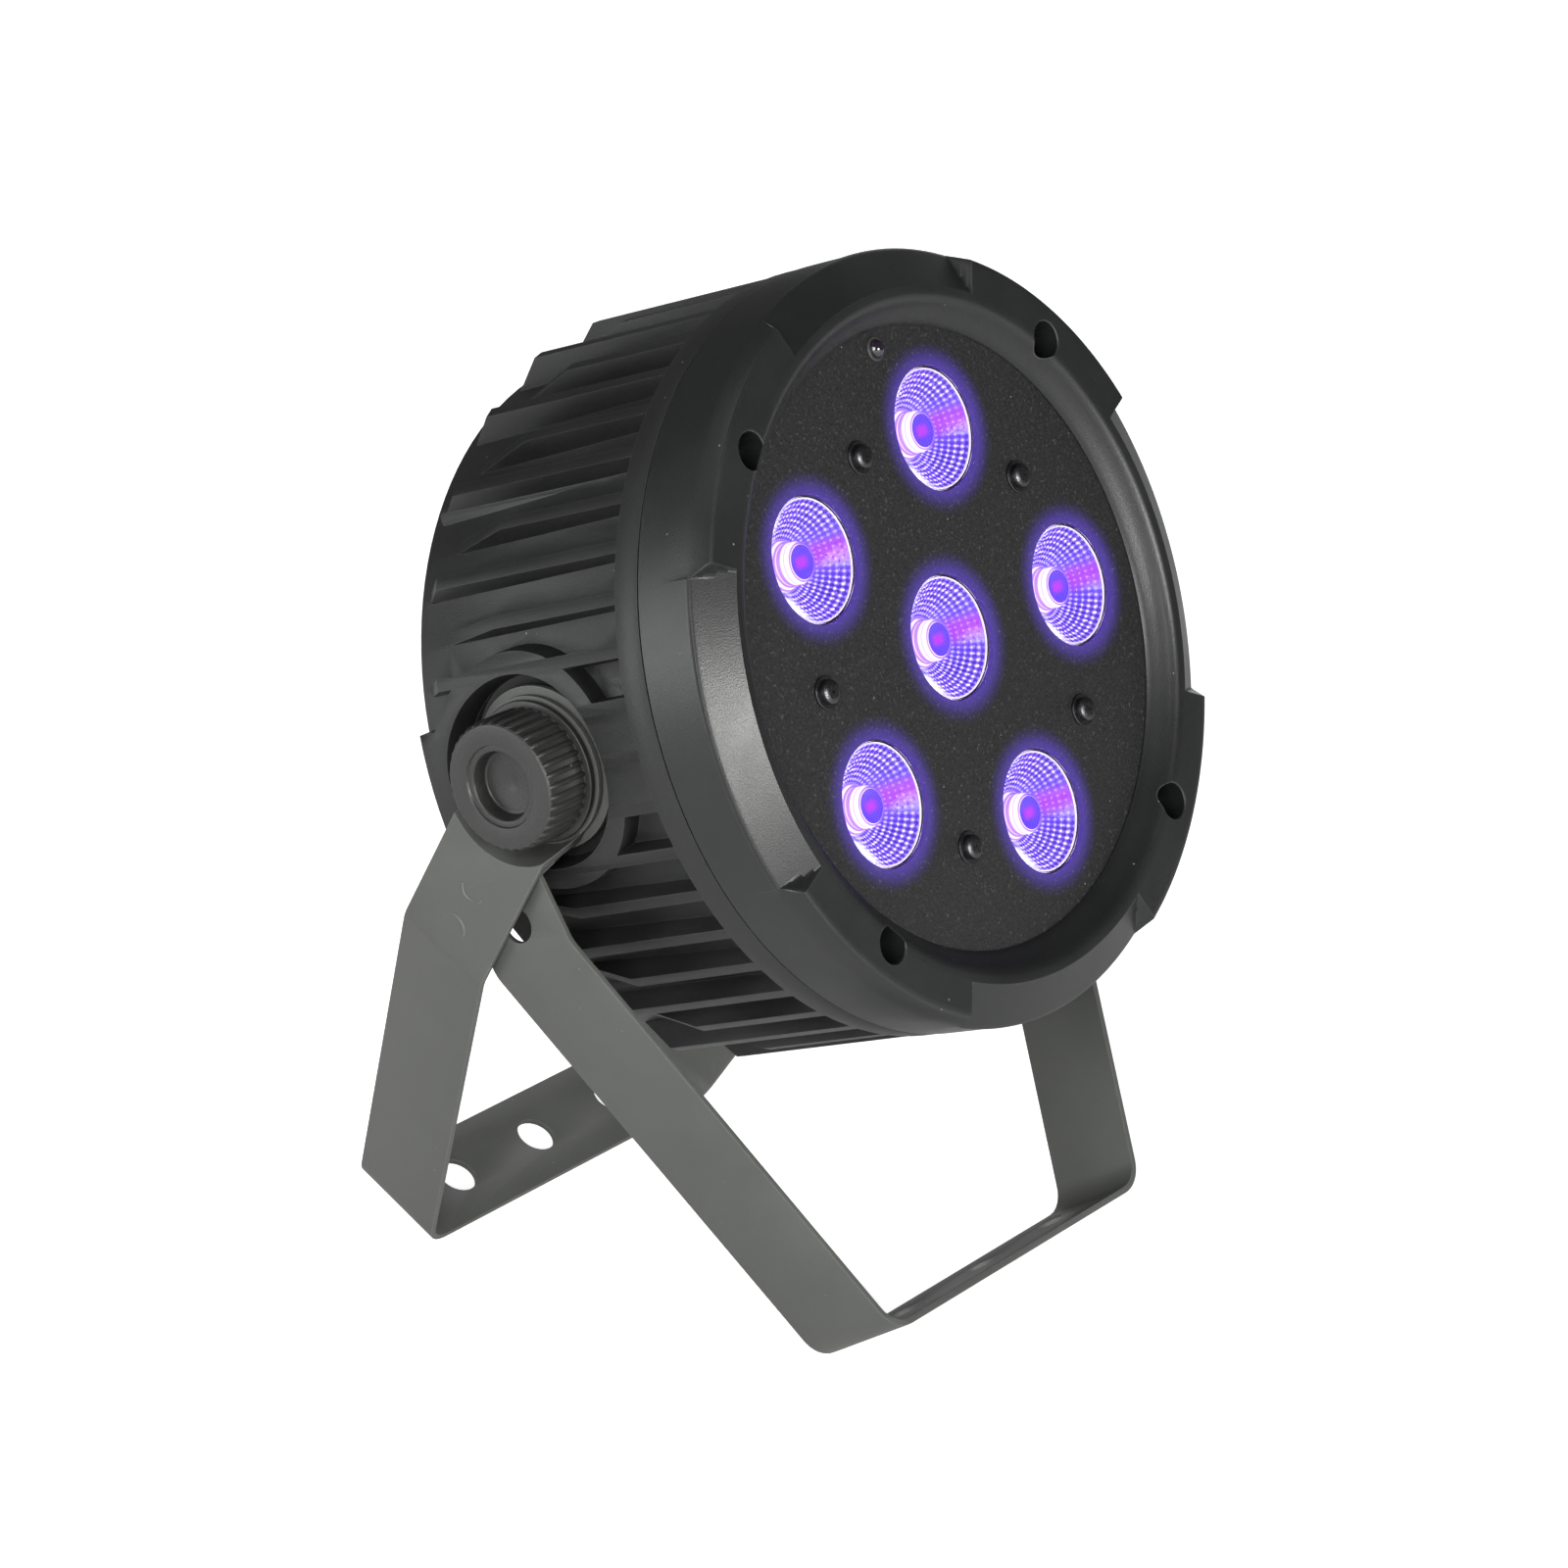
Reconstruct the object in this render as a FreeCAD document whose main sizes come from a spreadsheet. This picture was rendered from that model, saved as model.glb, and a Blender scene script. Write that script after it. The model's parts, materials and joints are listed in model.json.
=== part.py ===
import FreeCAD, Part
import math
import os
import re

import Sketcher

# A flat LED par can on a double yoke, in millimetres with +Z up.
# The head is drawn about its own light axis: local +Z is the way the light shines, local +Y is
# up the face, and the tilt axis runs through the local origin along X. The yokes are drawn hanging
# straight down from the same tilt axis. Every piece is then turned into place and lifted so that
# the yokes' lower edges stand on Z = 0.

X_AXIS = FreeCAD.Vector(1, 0, 0)
Y_AXIS = FreeCAD.Vector(0, 1, 0)
Z_AXIS = FreeCAD.Vector(0, 0, 1)
ORIGIN = FreeCAD.Vector(0, 0, 0)
FULL_TURN = 360.0

SIZES = {
    # attitude, degrees
    "tiltUp": 18.7,
    "frontLean": 31.1,
    # overall stations along the light axis, from the tilt axis
    "backDepth": 36.0,
    "frontDepth": 64.0,
    # face layout and bezel
    "ringRadius": 50.0,
    "lensRadius": 14.9,
    "faceMargin": 9.5,
    "bezelWidth": 17.9,
    "bezelDepth": 21.5,
    "bezelProud": 0.2,
    "bezelWall": 3.0,
    "lipWidth": 4.7,
    "lipRound": 1.6,
    "plateRecess": 6.0,
    "padWidth": 9.5,
    "padDrop": 5.5,
    "padSpan": 50.0,
    "screwRecess": 4.5,
    "screwRecessDepth": 12.0,
    "bezelShank": 1.9,
    "bezelBoss": 6.4,
    "housingBoss": 4.0,
    "bezelScrewReach": 17.0,
    # housing and cooling ribs
    "collarDepth": 6.9,
    "grooveDepth": 5.3,
    "bodyTaper": 2.5,
    "rearRound": 2.0,
    "shellWall": 3.0,
    "rearWall": 5.0,
    "ribCount": 24.0,
    "ribWidth": 3.0,
    "ribRoot": 1.5,
    "ribDrop": 0.3,
    "longRibBack": 5.0,
    "longRibRise": 14.0,
    "shortRibBack": 11.5,
    "shortRibRise": 33.0,
    "landBack": 6.0,
    "landHalf": 13.4,
    "landRadius": 28.5,
    # lenses and light engine
    "plateThick": 1.5,
    "plateOverlap": 1.6,
    "lensFlange": 1.5,
    "lensRecess": 0.8,
    "lensHeight": 14.5,
    "lensNeck": 4.5,
    "lensWell": 3.6,
    "lensWellDepth": 5.5,
    "lensShoulder": 1.1,
    "holderWall": 1.5,
    "lensGap": 0.3,
    "seatGap": 0.1,
    "boardGap": 1.0,
    "boardThick": 1.6,
    "boardMargin": 1.5,
    "emitterRadius": 2.6,
    "emitterHeight": 2.6,
    "emitterFoot": 0.7,
    "faceShank": 1.5,
    "screwHead": 3.0,
    "screwHeadHeight": 2.0,
    "faceScrewReach": 12.0,
    "washerRadius": 4.0,
    "washerThick": 0.6,
    "standoffRadius": 3.2,
    "sensorRadius": 2.3,
    "sensorInset": 4.4,
    "sensorAngle": 89.0,
    "sinkGap": 7.5,
    "sinkThick": 5.0,
    "finDepth": 18.0,
    "finThick": 2.0,
    "finPitch": 13.0,
    "postInset": 5.0,
    "postRadius": 3.6,
    "postPilot": 1.4,
    "postReach": 10.0,
    # driver board
    "driverBack": 30.0,
    "driverWidth": 118.0,
    "driverHeight": 62.0,
    "driverInset": 4.0,
    "coreWidth": 28.0,
    "coreHeight": 22.0,
    "coreDepth": 12.0,
    "coreOffset": 18.0,
    "canRadius": 5.5,
    "canHeight": 13.0,
    "canOffset": 14.0,
    "fuseRadius": 2.6,
    "fuseLength": 20.0,
    "fuseOffset": 46.0,
    # rear panel, sockets, display and keys
    "panelThick": 1.5,
    "panelLedge": 5.0,
    "panelMargin": 2.0,
    "panelShank": 1.4,
    "panelScrewInset": 2.5,
    "fitGap": 0.2,
    "flangeThick": 2.0,
    "connectorDepth": 20.0,
    "keyRow": 5.0,
    "signalGap": 6.0,
    "socketRadius": 11.0,
    "socketWall": 2.0,
    "socketLip": 2.0,
    "pinCircle": 4.5,
    "pinRadius": 1.2,
    "pinLength": 11.0,
    "socketRow": 4.0,
    "flangeGap": 2.5,
    "powerWidth": 27.0,
    "powerHeight": 20.0,
    "powerWall": 2.0,
    "powerLip": 2.0,
    "plugGap": 1.7,
    "bladeWidth": 2.0,
    "bladeHeight": 4.0,
    "bladePitch": 7.0,
    "bladeStagger": 2.5,
    "windowWidth": 44.0,
    "windowHeight": 18.0,
    "windowY": 30.0,
    "windowRim": 1.5,
    "windowRimThick": 1.0,
    "displayInset": 2.0,
    "displayDepth": 5.0,
    "controlWidth": 62.0,
    "controlMargin": 7.5,
    "keyY": 15.0,
    "keyPitch": 14.0,
    "keyRadius": 3.0,
    "keyProud": 1.2,
    "keyGap": 0.3,
    "keyTravel": 0.5,
    "keyFlange": 1.0,
    "keyFlangeThick": 0.8,
    "switchWidth": 6.0,
    "switchHeight": 2.4,
    # along the tilt axis
    "bossSink": 9.7,
    "bossDepth": 9.0,
    "pocketGap": 0.8,
    "frictionThick": 1.0,
    "frictionRadius": 15.0,
    "runGap": 0.3,
    "strapThick": 1.5,
    "boltRadius": 4.0,
    "boltRunGap": 0.05,
    "boltLength": 22.0,
    "boltSink": 5.0,
    "holeGap": 0.4,
    "insertRadius": 6.5,
    "insertLength": 12.0,
    "knobHeight": 14.0,
    "knobRadius": 15.0,
    "knobChamfer": 0.6,
    "skirtWidth": 2.0,
    "skirtHeight": 1.6,
    "ridgeDepth": 1.0,
    "ridgeWidth": 1.3,
    "ridgeCount": 36.0,
    "knobRecess": 8.2,
    "knobRecessDepth": 4.5,
    # yokes
    "strapWidth": 26.3,
    "bendRadius": 8.0,
    "neckDrop": 30.0,
    "dishGap": 0.7,
    "dishNest": 0.4,
    "flare": 0.23,
    "yokeGap": 0.9,
    "rimGap": 3.1,
    "frontBend": 39.0,
    "frontLength": 155.0,
    "frontHalf": 52.3,
    "frontOffset": 19.9,
    "rearBend": 51.0,
    "lengthGap": 7.4,
    "halfGap": 1.8,
    "rearOffset": 3.8,
    "mountHole": 5.15,
    "mountPitch": 31.5,
    "keyHole": 4.5,
}

# Sizes that follow from the ones above; each name stands for its formula wherever it is used.
FOLLOWING = {
    "lipRadius": "ringRadius + lensRadius + faceMargin",
    "rimRadius": "lipRadius + bezelWidth",
    "bodyRadius": "rimRadius - grooveDepth",
    "rearRadius": "bodyRadius - bodyTaper",
    "ribTop": "rimRadius - ribDrop",
    "cavityFront": "bodyRadius - shellWall",
    "cavityRear": "rearRadius - shellWall",
    "back": "-1 * backDepth",
    "floor": "rearWall - backDepth",
    "seam": "frontDepth - bezelDepth",
    "collar": "seam - collarDepth",
    "plateFace": "frontDepth - plateRecess",
    "plateBack": "plateFace - plateThick",
    "plateRadius": "lipRadius + plateOverlap",
    "lensFront": "plateFace - lensRecess",
    "lensSeat": "lensFront - lensFlange",
    "lensBack": "lensFront - lensHeight - plateThick",
    "boardFront": "lensBack - boardGap",
    "sinkFront": "boardFront - boardThick",
    "sinkBack": "sinkFront - sinkThick",
    "boardRadius": "ringRadius + lensRadius + boardMargin",
    "sinkRadius": "cavityFront - sinkGap",
    "postCircle": "sinkRadius - postInset",
    "screwCircle": "rimRadius - padWidth",
    "screwSeat": "frontDepth - screwRecessDepth",
    "driverFace": "driverBack - backDepth",
    "driverTop": "driverFace + boardThick",
    "driverX": "driverWidth / 2 - driverInset",
    "driverY": "driverHeight / 2 - driverInset",
    "panelInside": "panelThick - backDepth",
    "socketX": "socketRadius + socketLip + signalGap",
    "socketY": "keyY - keyRadius - keyRow - socketRadius - socketLip",
    "powerX": "powerWidth / 2 + powerLip + flangeGap",
    "powerY": "socketRadius + socketLip + socketRow + powerLip + powerHeight / 2 - socketY",
    "panelRadius": "sqrt((powerX + powerWidth / 2)^2 + (powerY + powerHeight / 2)^2) + panelMargin + panelLedge",
    "panelScrewCircle": "panelRadius - panelScrewInset",
    "controlFace": "panelInside + windowRimThick + displayDepth",
    "knobSkirt": "knobRadius + skirtWidth",
    "ridgeTip": "knobRadius + ridgeDepth",
    "bossFace": "rimRadius - bossSink",
    "frontSeat": "bossFace + frictionThick + runGap",
    "rearSeat": "frontSeat + strapThick + runGap",
    "knobBack": "rearSeat + strapThick + runGap",
    "knobTop": "knobBack + knobHeight",
    "rearDish": "knobSkirt + dishGap",
    "frontDish": "rearDish + strapThick + dishNest",
    "pocketFloor": "frontDish + strapThick + pocketGap",
    "frontPlate": "rimRadius + rimGap",
    "rearPlate": "frontPlate + strapThick + yokeGap",
    "rearHalf": "frontHalf + strapThick + halfGap",
    "rearLength": "frontLength + strapThick + lengthGap",
    "dishEdge": "sqrt(neckDrop^2 + (frontOffset + strapWidth / 2)^2) + strapWidth / 10",
}

doc = FreeCAD.newDocument("par_can")
sheet = doc.addObject("Spreadsheet::Sheet", "dims")
for row, (alias, number) in enumerate(SIZES.items(), start=1):
    sheet.set("A%d" % row, alias)
    sheet.set("B%d" % row, str(number))
    sheet.setAlias("B%d" % row, alias)
doc.recompute()

pieces = {}


def tied(text):
    """Spell a formula of size names out, down to the cells of the sheet."""
    def spell(match):
        word = match.group()
        if word in FOLLOWING:
            return "(" + tied(FOLLOWING[word]) + ")"
        return "dims." + word if word in SIZES else word
    return re.sub(r"[A-Za-z]\w*", spell, text)


def value(text):
    """The number that a formula gives, in millimetres or degrees."""
    found = sheet.evalExpression(tied(text))
    return float(getattr(found, "Value", found))


def bind(thing, **expressions):
    for name, text in expressions.items():
        thing.setExpression(name, tied(text))
    return thing


def turned(axis, degrees, base=ORIGIN):
    return FreeCAD.Placement(base, FreeCAD.Rotation(axis, degrees))


def moved(thing, x="0", y="0", z="0", axis=Z_AXIS, degrees=0.0):
    """Place a primitive: its turn is fixed, its position is tied to the sheet."""
    thing.Placement = turned(axis, degrees)
    for letter, text in zip("xyz", (x, y, z)):
        thing.setExpression("Placement.Base." + letter, tied("(%s) * 1 mm" % text))
    return thing


def polar(radius, degrees, z="0"):
    return {"x": "(%s) * cos(%s * 1 deg)" % (radius, degrees), "y": "(%s) * sin(%s * 1 deg)" % (radius, degrees), "z": z}


def cylinder(radius, height, **where):
    return moved(bind(doc.addObject("Part::Cylinder", "cylinder"), Radius=radius, Height=height), **where)


def cone(low, high, height, **where):
    thing = bind(doc.addObject("Part::Cone", "cone"), Radius1=low, Radius2=high, Height=height)
    return moved(thing, **where)


def block(width, depth, height, x="0", y="0", z="0"):
    """A box centred on x and y, standing on z."""
    thing = bind(doc.addObject("Part::Box", "block"), Length=width, Width=depth, Height=height)
    return moved(thing, "%s - (%s) / 2" % (x, width), "%s - (%s) / 2" % (y, depth), z)


def fused(parts, name="fusion"):
    thing = doc.addObject("Part::MultiFuse", name)
    thing.Shapes = parts
    return thing


def grouped(parts, name="group"):
    thing = doc.addObject("Part::Compound", name)
    thing.Links = parts
    return thing


def cut(base, tools, name="cutting"):
    thing = doc.addObject("Part::Cut", name)
    thing.Base = base
    thing.Tool = tools[0] if len(tools) == 1 else fused(tools)
    return thing


def common(parts, name="common"):
    thing = doc.addObject("Part::MultiCommon", name)
    thing.Shapes = parts
    return thing


def origin_plane(body, role):
    return next(plane for plane in body.Origin.OriginFeatures if plane.Role == role)


def polygon(body, role, points):
    """A closed outline on an origin plane, every corner tied to the sheet."""
    sketch = body.newObject("Sketcher::SketchObject", "outline")
    sketch.AttachmentSupport = (origin_plane(body, role), [""])
    sketch.MapMode = "FlatFace"
    count = len(points)
    start = [FreeCAD.Vector(math.cos(k * math.tau / count), math.sin(k * math.tau / count), 0) for k in range(count)]
    for k in range(count):
        sketch.addGeometry(Part.LineSegment(start[k], start[(k + 1) % count]), False)
    for k in range(count):
        sketch.addConstraint(Sketcher.Constraint("Coincident", k, 2, (k + 1) % count, 1))
    for k, corner in enumerate(points):
        for kind, text, place in zip(("DistanceX", "DistanceY"), corner, (start[k].x, start[k].y)):
            index = sketch.addConstraint(Sketcher.Constraint(kind, -1, 1, k, 1, place))
            sketch.setExpression("Constraints[%d]" % index, tied("(%s) * 1 mm" % text))
    return sketch


def new_body():
    return doc.addObject("PartDesign::Body", "body")


def revolution(body, points, axis="V_Axis"):
    """Turn an outline of (radius, station) corners about the local light axis."""
    sketch = polygon(body, "XZ_Plane", points)
    feature = body.newObject("PartDesign::Revolution", "turning")
    feature.Profile = sketch
    feature.ReferenceAxis = (sketch, [axis])
    feature.Angle = FULL_TURN
    feature.Midplane = True
    return feature


def turned_body(points, axis="V_Axis"):
    body = new_body()
    revolution(body, points, axis)
    return body


def padded(body, role, points, width):
    feature = body.newObject("PartDesign::Pad", "padding")
    feature.Profile = polygon(body, role, points)
    feature.Midplane = True
    feature.setExpression("Length", tied("(%s) * 1 mm" % width))
    return feature


def around(body, feature, count):
    pattern = body.newObject("PartDesign::PolarPattern", "ring")
    pattern.Originals = [feature]
    pattern.Axis = (next(line for line in body.Origin.OriginFeatures if line.Role == "Z_Axis"), [""])
    pattern.Angle = 360
    pattern.setExpression("Occurrences", tied(count))
    body.Tip = pattern
    return pattern


def spoke(body, points, width, count, degrees):
    """An upright outline padded to a width, turned to its first angle and repeated round the axis."""
    feature = padded(body, "XZ_Plane", points, width)
    sketch = feature.Profile[0]
    sketch.AttachmentOffset = turned(Y_AXIS, degrees)
    return around(body, feature, count)


def piece(label, thing, frame):
    thing.Label = label
    pieces[label] = (thing, frame)


LENS_PLACES = [{"x": "0", "y": "0"}] + [polar("ringRadius", angle) for angle in (0, 72, 144, 216, 288)]
SCREW_PLACES = [polar("ringRadius", angle) for angle in (36, 108, 180, 252, 324)]
CORNERS = (45, 135, 225, 315)
POST_ANGLES = (22.5, 112.5, 202.5, 292.5)
KEYS = {"menu": "1.5 * keyPitch", "down": "0.5 * keyPitch", "up": "-0.5 * keyPitch", "enter": "-1.5 * keyPitch"}
DRIVER_POSTS = [{"x": x, "y": y} for x in ("driverX", "-1 * driverX") for y in ("driverY", "-1 * driverY")]


def at(place, z):
    return {"x": place["x"], "y": place["y"], "z": z}


def shift(thing, place):
    for letter in "xy":
        thing.setExpression("Placement.Base." + letter, tied("(%s) * 1 mm" % place[letter]))
    return thing


# The head, about the light axis.

def housing():
    """The moulded can: a tapered shell with a rear wall, cooling ribs, side lands, bosses and posts."""
    body = turned_body([
        ("panelRadius - panelLedge", "back"), ("rearRadius - rearRound", "back"), ("rearRadius", "back + rearRound"),
        ("bodyRadius", "collar"), ("rimRadius", "collar"), ("rimRadius", "seam"), ("cavityFront", "seam"),
        ("cavityFront", "collar"), ("cavityRear", "floor"), ("panelRadius - panelLedge", "floor")])
    rib_foot = ("bodyRadius - ribRoot", "collar + ribRoot")
    rib_head = ("ribTop", "collar + ribRoot")
    for start, rise, turn in (("longRibBack", "longRibRise", 0.0), ("shortRibBack", "shortRibRise", 7.5)):
        spoke(body, [("rearRadius - ribRoot", "back + " + start), rib_foot, rib_head,
                     ("ribTop", "back + " + rise), ("rearRadius + fitGap", "back + " + start)],
              "ribWidth", "ribCount", turn)
    land_length = "collar - back - landBack"
    sleeve = cut(cylinder("ribTop", land_length, z="back + landBack"),
                 [cylinder("bodyRadius - ribRoot", land_length, z="back + landBack")])
    band = block("2 * rimRadius", "2 * landHalf", land_length, z="back + landBack")
    round_land = cylinder("landRadius", "2 * rimRadius", x="-1 * rimRadius", axis=Y_AXIS, degrees=90)
    solids = [body, common([sleeve, fused([band, round_land])])]
    tools = [cylinder("panelRadius + fitGap", "panelThick", z="back")]
    for sign, turn in (("", 90), ("-1 * ", -90)):
        solids.append(cylinder("pocketFloor + pocketGap", "bossDepth", x=sign + "(bossFace - bossDepth)",
                               axis=Y_AXIS, degrees=turn))
        tools.append(cone("pocketFloor", "pocketFloor + flare * 2 * bossSink", "2 * bossSink",
                          x=sign + "bossFace", axis=Y_AXIS, degrees=turn))
        tools.append(cylinder("insertRadius", "bossDepth + 2 * fitGap", x=sign + "(bossFace - bossDepth - fitGap)",
                              axis=Y_AXIS, degrees=turn))
    for angle in CORNERS:
        solids.append(cylinder("housingBoss", "seam - floor", **polar("screwCircle", angle, "floor")))
        tools.append(cylinder("bezelShank", "bezelScrewReach + 2", **polar("screwCircle", angle, "seam - bezelScrewReach - 1")))
        tools.append(cylinder("panelShank", "rearWall + 2", **polar("panelScrewCircle", angle, "back - 1")))
    for angle in POST_ANGLES:
        solids.append(cylinder("postRadius", "sinkBack - floor", **polar("postCircle", angle, "floor")))
        tools.append(cylinder("postPilot", "postReach + 2", **polar("postCircle", angle, "sinkBack - postReach - 1")))
    for place in DRIVER_POSTS:
        solids.append(cylinder("postRadius", "driverFace - floor", **at(place, "floor")))
        tools.append(cylinder("postPilot", "postReach + 2", **at(place, "driverFace - postReach - 1")))
    piece("housing", cut(fused(solids), tools), "head")


def bezel():
    """The front ring: a flat face with four chamfered pads, a rolled lip and recessed screw wells."""
    ring = turned_body([
        ("lipRadius", "plateFace"), ("lipRadius", "plateFace + 0.2 * lipRound"),
        ("lipRadius + 0.4 * lipWidth", "plateFace + lipRound"),
        ("lipRadius + lipWidth", "frontDepth - lipRound"), ("lipRadius + lipWidth + lipRound", "frontDepth"),
        ("rimRadius - 1.6", "frontDepth"), ("rimRadius - 1", "frontDepth - 0.5"),
        ("rimRadius + bezelProud", "plateFace"), ("rimRadius + bezelProud", "seam"),
        ("rimRadius + bezelProud - bezelWall", "seam"), ("rimRadius + bezelProud - bezelWall", "plateFace")])
    slope = turned_body([
        ("screwCircle", "frontDepth"), ("rimRadius + padWidth", "frontDepth"),
        ("rimRadius + padWidth", "frontDepth - 2 * padDrop")])
    reach = "2 * rimRadius * sin(padSpan * 0.5 deg)"
    sectors = fused([block("4 * rimRadius", reach, "bezelDepth + 1", z="seam"),
                     block(reach, "4 * rimRadius", "bezelDepth + 1", z="seam")])
    solids = [cut(ring, [common([slope, sectors])])]
    tools = []
    for angle in CORNERS:
        solids.append(cylinder("bezelBoss", "plateFace - seam", **polar("screwCircle", angle, "seam")))
        tools.append(cylinder("screwRecess", "screwRecessDepth + 1", **polar("screwCircle", angle, "screwSeat")))
        tools.append(cylinder("bezelShank", "bezelDepth + 2", **polar("screwCircle", angle, "seam - 1")))
    piece("front_bezel", cut(fused(solids), tools), "head")


def screw(head_radius, head_height, shank, reach, place, seat, down=True):
    """A pan-head screw on its seat; the shank runs backwards, or forwards when down is false."""
    head_z = seat if down else "%s - %s" % (seat, head_height)
    shank_z = "%s - (%s)" % (seat, reach) if down else seat
    return fused([cylinder(head_radius, head_height, **at(place, head_z)),
                  cylinder(shank, reach, **at(place, shank_z))])


def screws(label, head_radius, shank, reach, seat, places, down=True, head_height="screwHeadHeight"):
    heads = [screw(head_radius, head_height, shank, reach, place, seat, down) for place in places]
    piece(label, grouped(heads), "head")


def face_plate():
    start = "plateBack - 1"
    through = "plateThick + 2"
    tools = [cylinder("lensRadius + lensGap", through, **at(place, start)) for place in LENS_PLACES]
    tools += [cylinder("faceShank", through, **at(place, start)) for place in SCREW_PLACES]
    sensor = polar("lipRadius - sensorInset", "sensorAngle", start)
    tools.append(cylinder("sensorRadius", through, **sensor))
    piece("face_plate", cut(cylinder("plateRadius", "plateThick", z="plateBack"), tools), "head")
    washers = [cut(cylinder("washerRadius", "washerThick", **at(place, "plateFace")),
                   [cylinder("faceShank", "washerThick + 2", **at(place, "plateFace - 1"))]) for place in SCREW_PLACES]
    piece("face_plate_washers", grouped(washers), "head")
    screws("face_plate_screws", "screwHead", "faceShank", "faceScrewReach", "(plateFace + washerThick)", SCREW_PLACES)
    standoffs = [cut(cylinder("standoffRadius", "plateBack - boardFront", **at(place, "boardFront")),
                     [cylinder("faceShank", "plateBack - boardFront", **at(place, "plateFace - faceScrewReach"))])
                 for place in SCREW_PLACES]
    piece("face_plate_standoffs", grouped(standoffs), "head")
    dome = turned_body([("0", "plateBack"), ("sensorRadius", "plateBack"), ("sensorRadius", "plateFace + 0.6"),
                        ("0.86 * sensorRadius", "plateFace + 1.3"), ("0.5 * sensorRadius", "plateFace + 1.9"),
                        ("0", "plateFace + 2.1")])
    piece("sensor_dome", shift(dome, sensor), "head")


def optics():
    """Six total-reflection lenses in their holders, over the emitters on the board."""
    for number, place in enumerate(LENS_PLACES, start=1):
        lens = turned_body([
            ("0", "lensBack + lensWellDepth"), ("lensWell", "lensBack + lensWellDepth"), ("lensWell", "lensBack"),
            ("lensNeck", "lensBack"), ("lensRadius - lensShoulder", "lensSeat"), ("lensRadius", "lensSeat"),
            ("lensRadius", "lensFront"), ("0", "lensFront")])
        piece("lens_%d" % number, shift(lens, place), "head")
        outside = "lensRadius + lensGap + holderWall"
        holder = turned_body([
            ("lensNeck + 2 * lensGap", "boardFront"), (outside, "boardFront"), (outside, "plateBack"),
            ("lensRadius + seatGap", "plateBack"), ("lensRadius + seatGap", "lensSeat"),
            ("lensRadius - lensShoulder + 2 * lensGap", "lensSeat"), ("lensNeck + 2 * lensGap", "lensBack")])
        piece("lens_holder_%d" % number, shift(holder, place), "head")
    emitters = [fused([cylinder("emitterRadius + emitterFoot", "emitterFoot", **at(place, "boardFront")),
                       cylinder("emitterRadius", "emitterHeight", **at(place, "boardFront"))]) for place in LENS_PLACES]
    piece("led_emitters", grouped(emitters), "head")
    piece("led_board", cylinder("boardRadius", "boardThick", z="sinkFront"), "head")


def heat_sink():
    disc = cylinder("sinkRadius", "sinkThick", z="sinkBack")
    fins = [block("finThick", "2 * boardRadius", "finDepth", "%d * finPitch" % k, "0", "sinkBack - finDepth")
            for k in range(-4, 5)]
    rounded = common([fused(fins), cylinder("boardRadius", "finDepth", z="sinkBack - finDepth")])
    holes = [cylinder("postPilot", "sinkThick + 2", **polar("postCircle", angle, "sinkBack - 1"))
             for angle in POST_ANGLES]
    piece("heat_sink", cut(fused([disc, rounded]), holes), "head")
    screws("heat_sink_screws", "screwHead", "postPilot", "sinkThick + postReach", "sinkFront",
           [polar("postCircle", angle) for angle in POST_ANGLES])


def driver():
    """The power electronics behind the heat sink."""
    holes = [cylinder("postPilot", "boardThick + 2", **at(place, "driverFace - 1")) for place in DRIVER_POSTS]
    piece("driver_board", cut(block("driverWidth", "driverHeight", "boardThick", z="driverFace"), holes), "head")
    screws("driver_board_screws", "screwHead", "postPilot", "boardThick + postReach - 1", "driverTop", DRIVER_POSTS)
    core = block("coreWidth - 4", "coreHeight", "coreDepth - 4", "-1 * coreOffset", z="driverTop")
    winding = block("coreWidth", "coreHeight - 8", "coreDepth - 2", "-1 * coreOffset", z="driverTop + 2")
    piece("driver_transformer", fused([core, winding]), "head")
    cans = [cylinder("canRadius", "canHeight", x="canOffset + %d * canRadius" % across, y="%d * canRadius" % along,
                     z="driverTop") for across, along in ((0, -2), (0, 1), (3, -2))]
    piece("driver_capacitors", grouped(cans), "head")
    fuse = cylinder("fuseRadius", "fuseLength", x="-1 * fuseOffset", y="-0.5 * fuseLength",
                    z="driverTop + 1.5 * fuseRadius", axis=X_AXIS, degrees=-90)
    clips = [block("fuseRadius", "fuseRadius", "1.5 * fuseRadius", "-1 * fuseOffset", "%s * fuseLength" % end, "driverTop")
             for end in ("0.4", "-0.4")]
    piece("driver_fuse", fused([fuse] + clips), "head")


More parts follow.
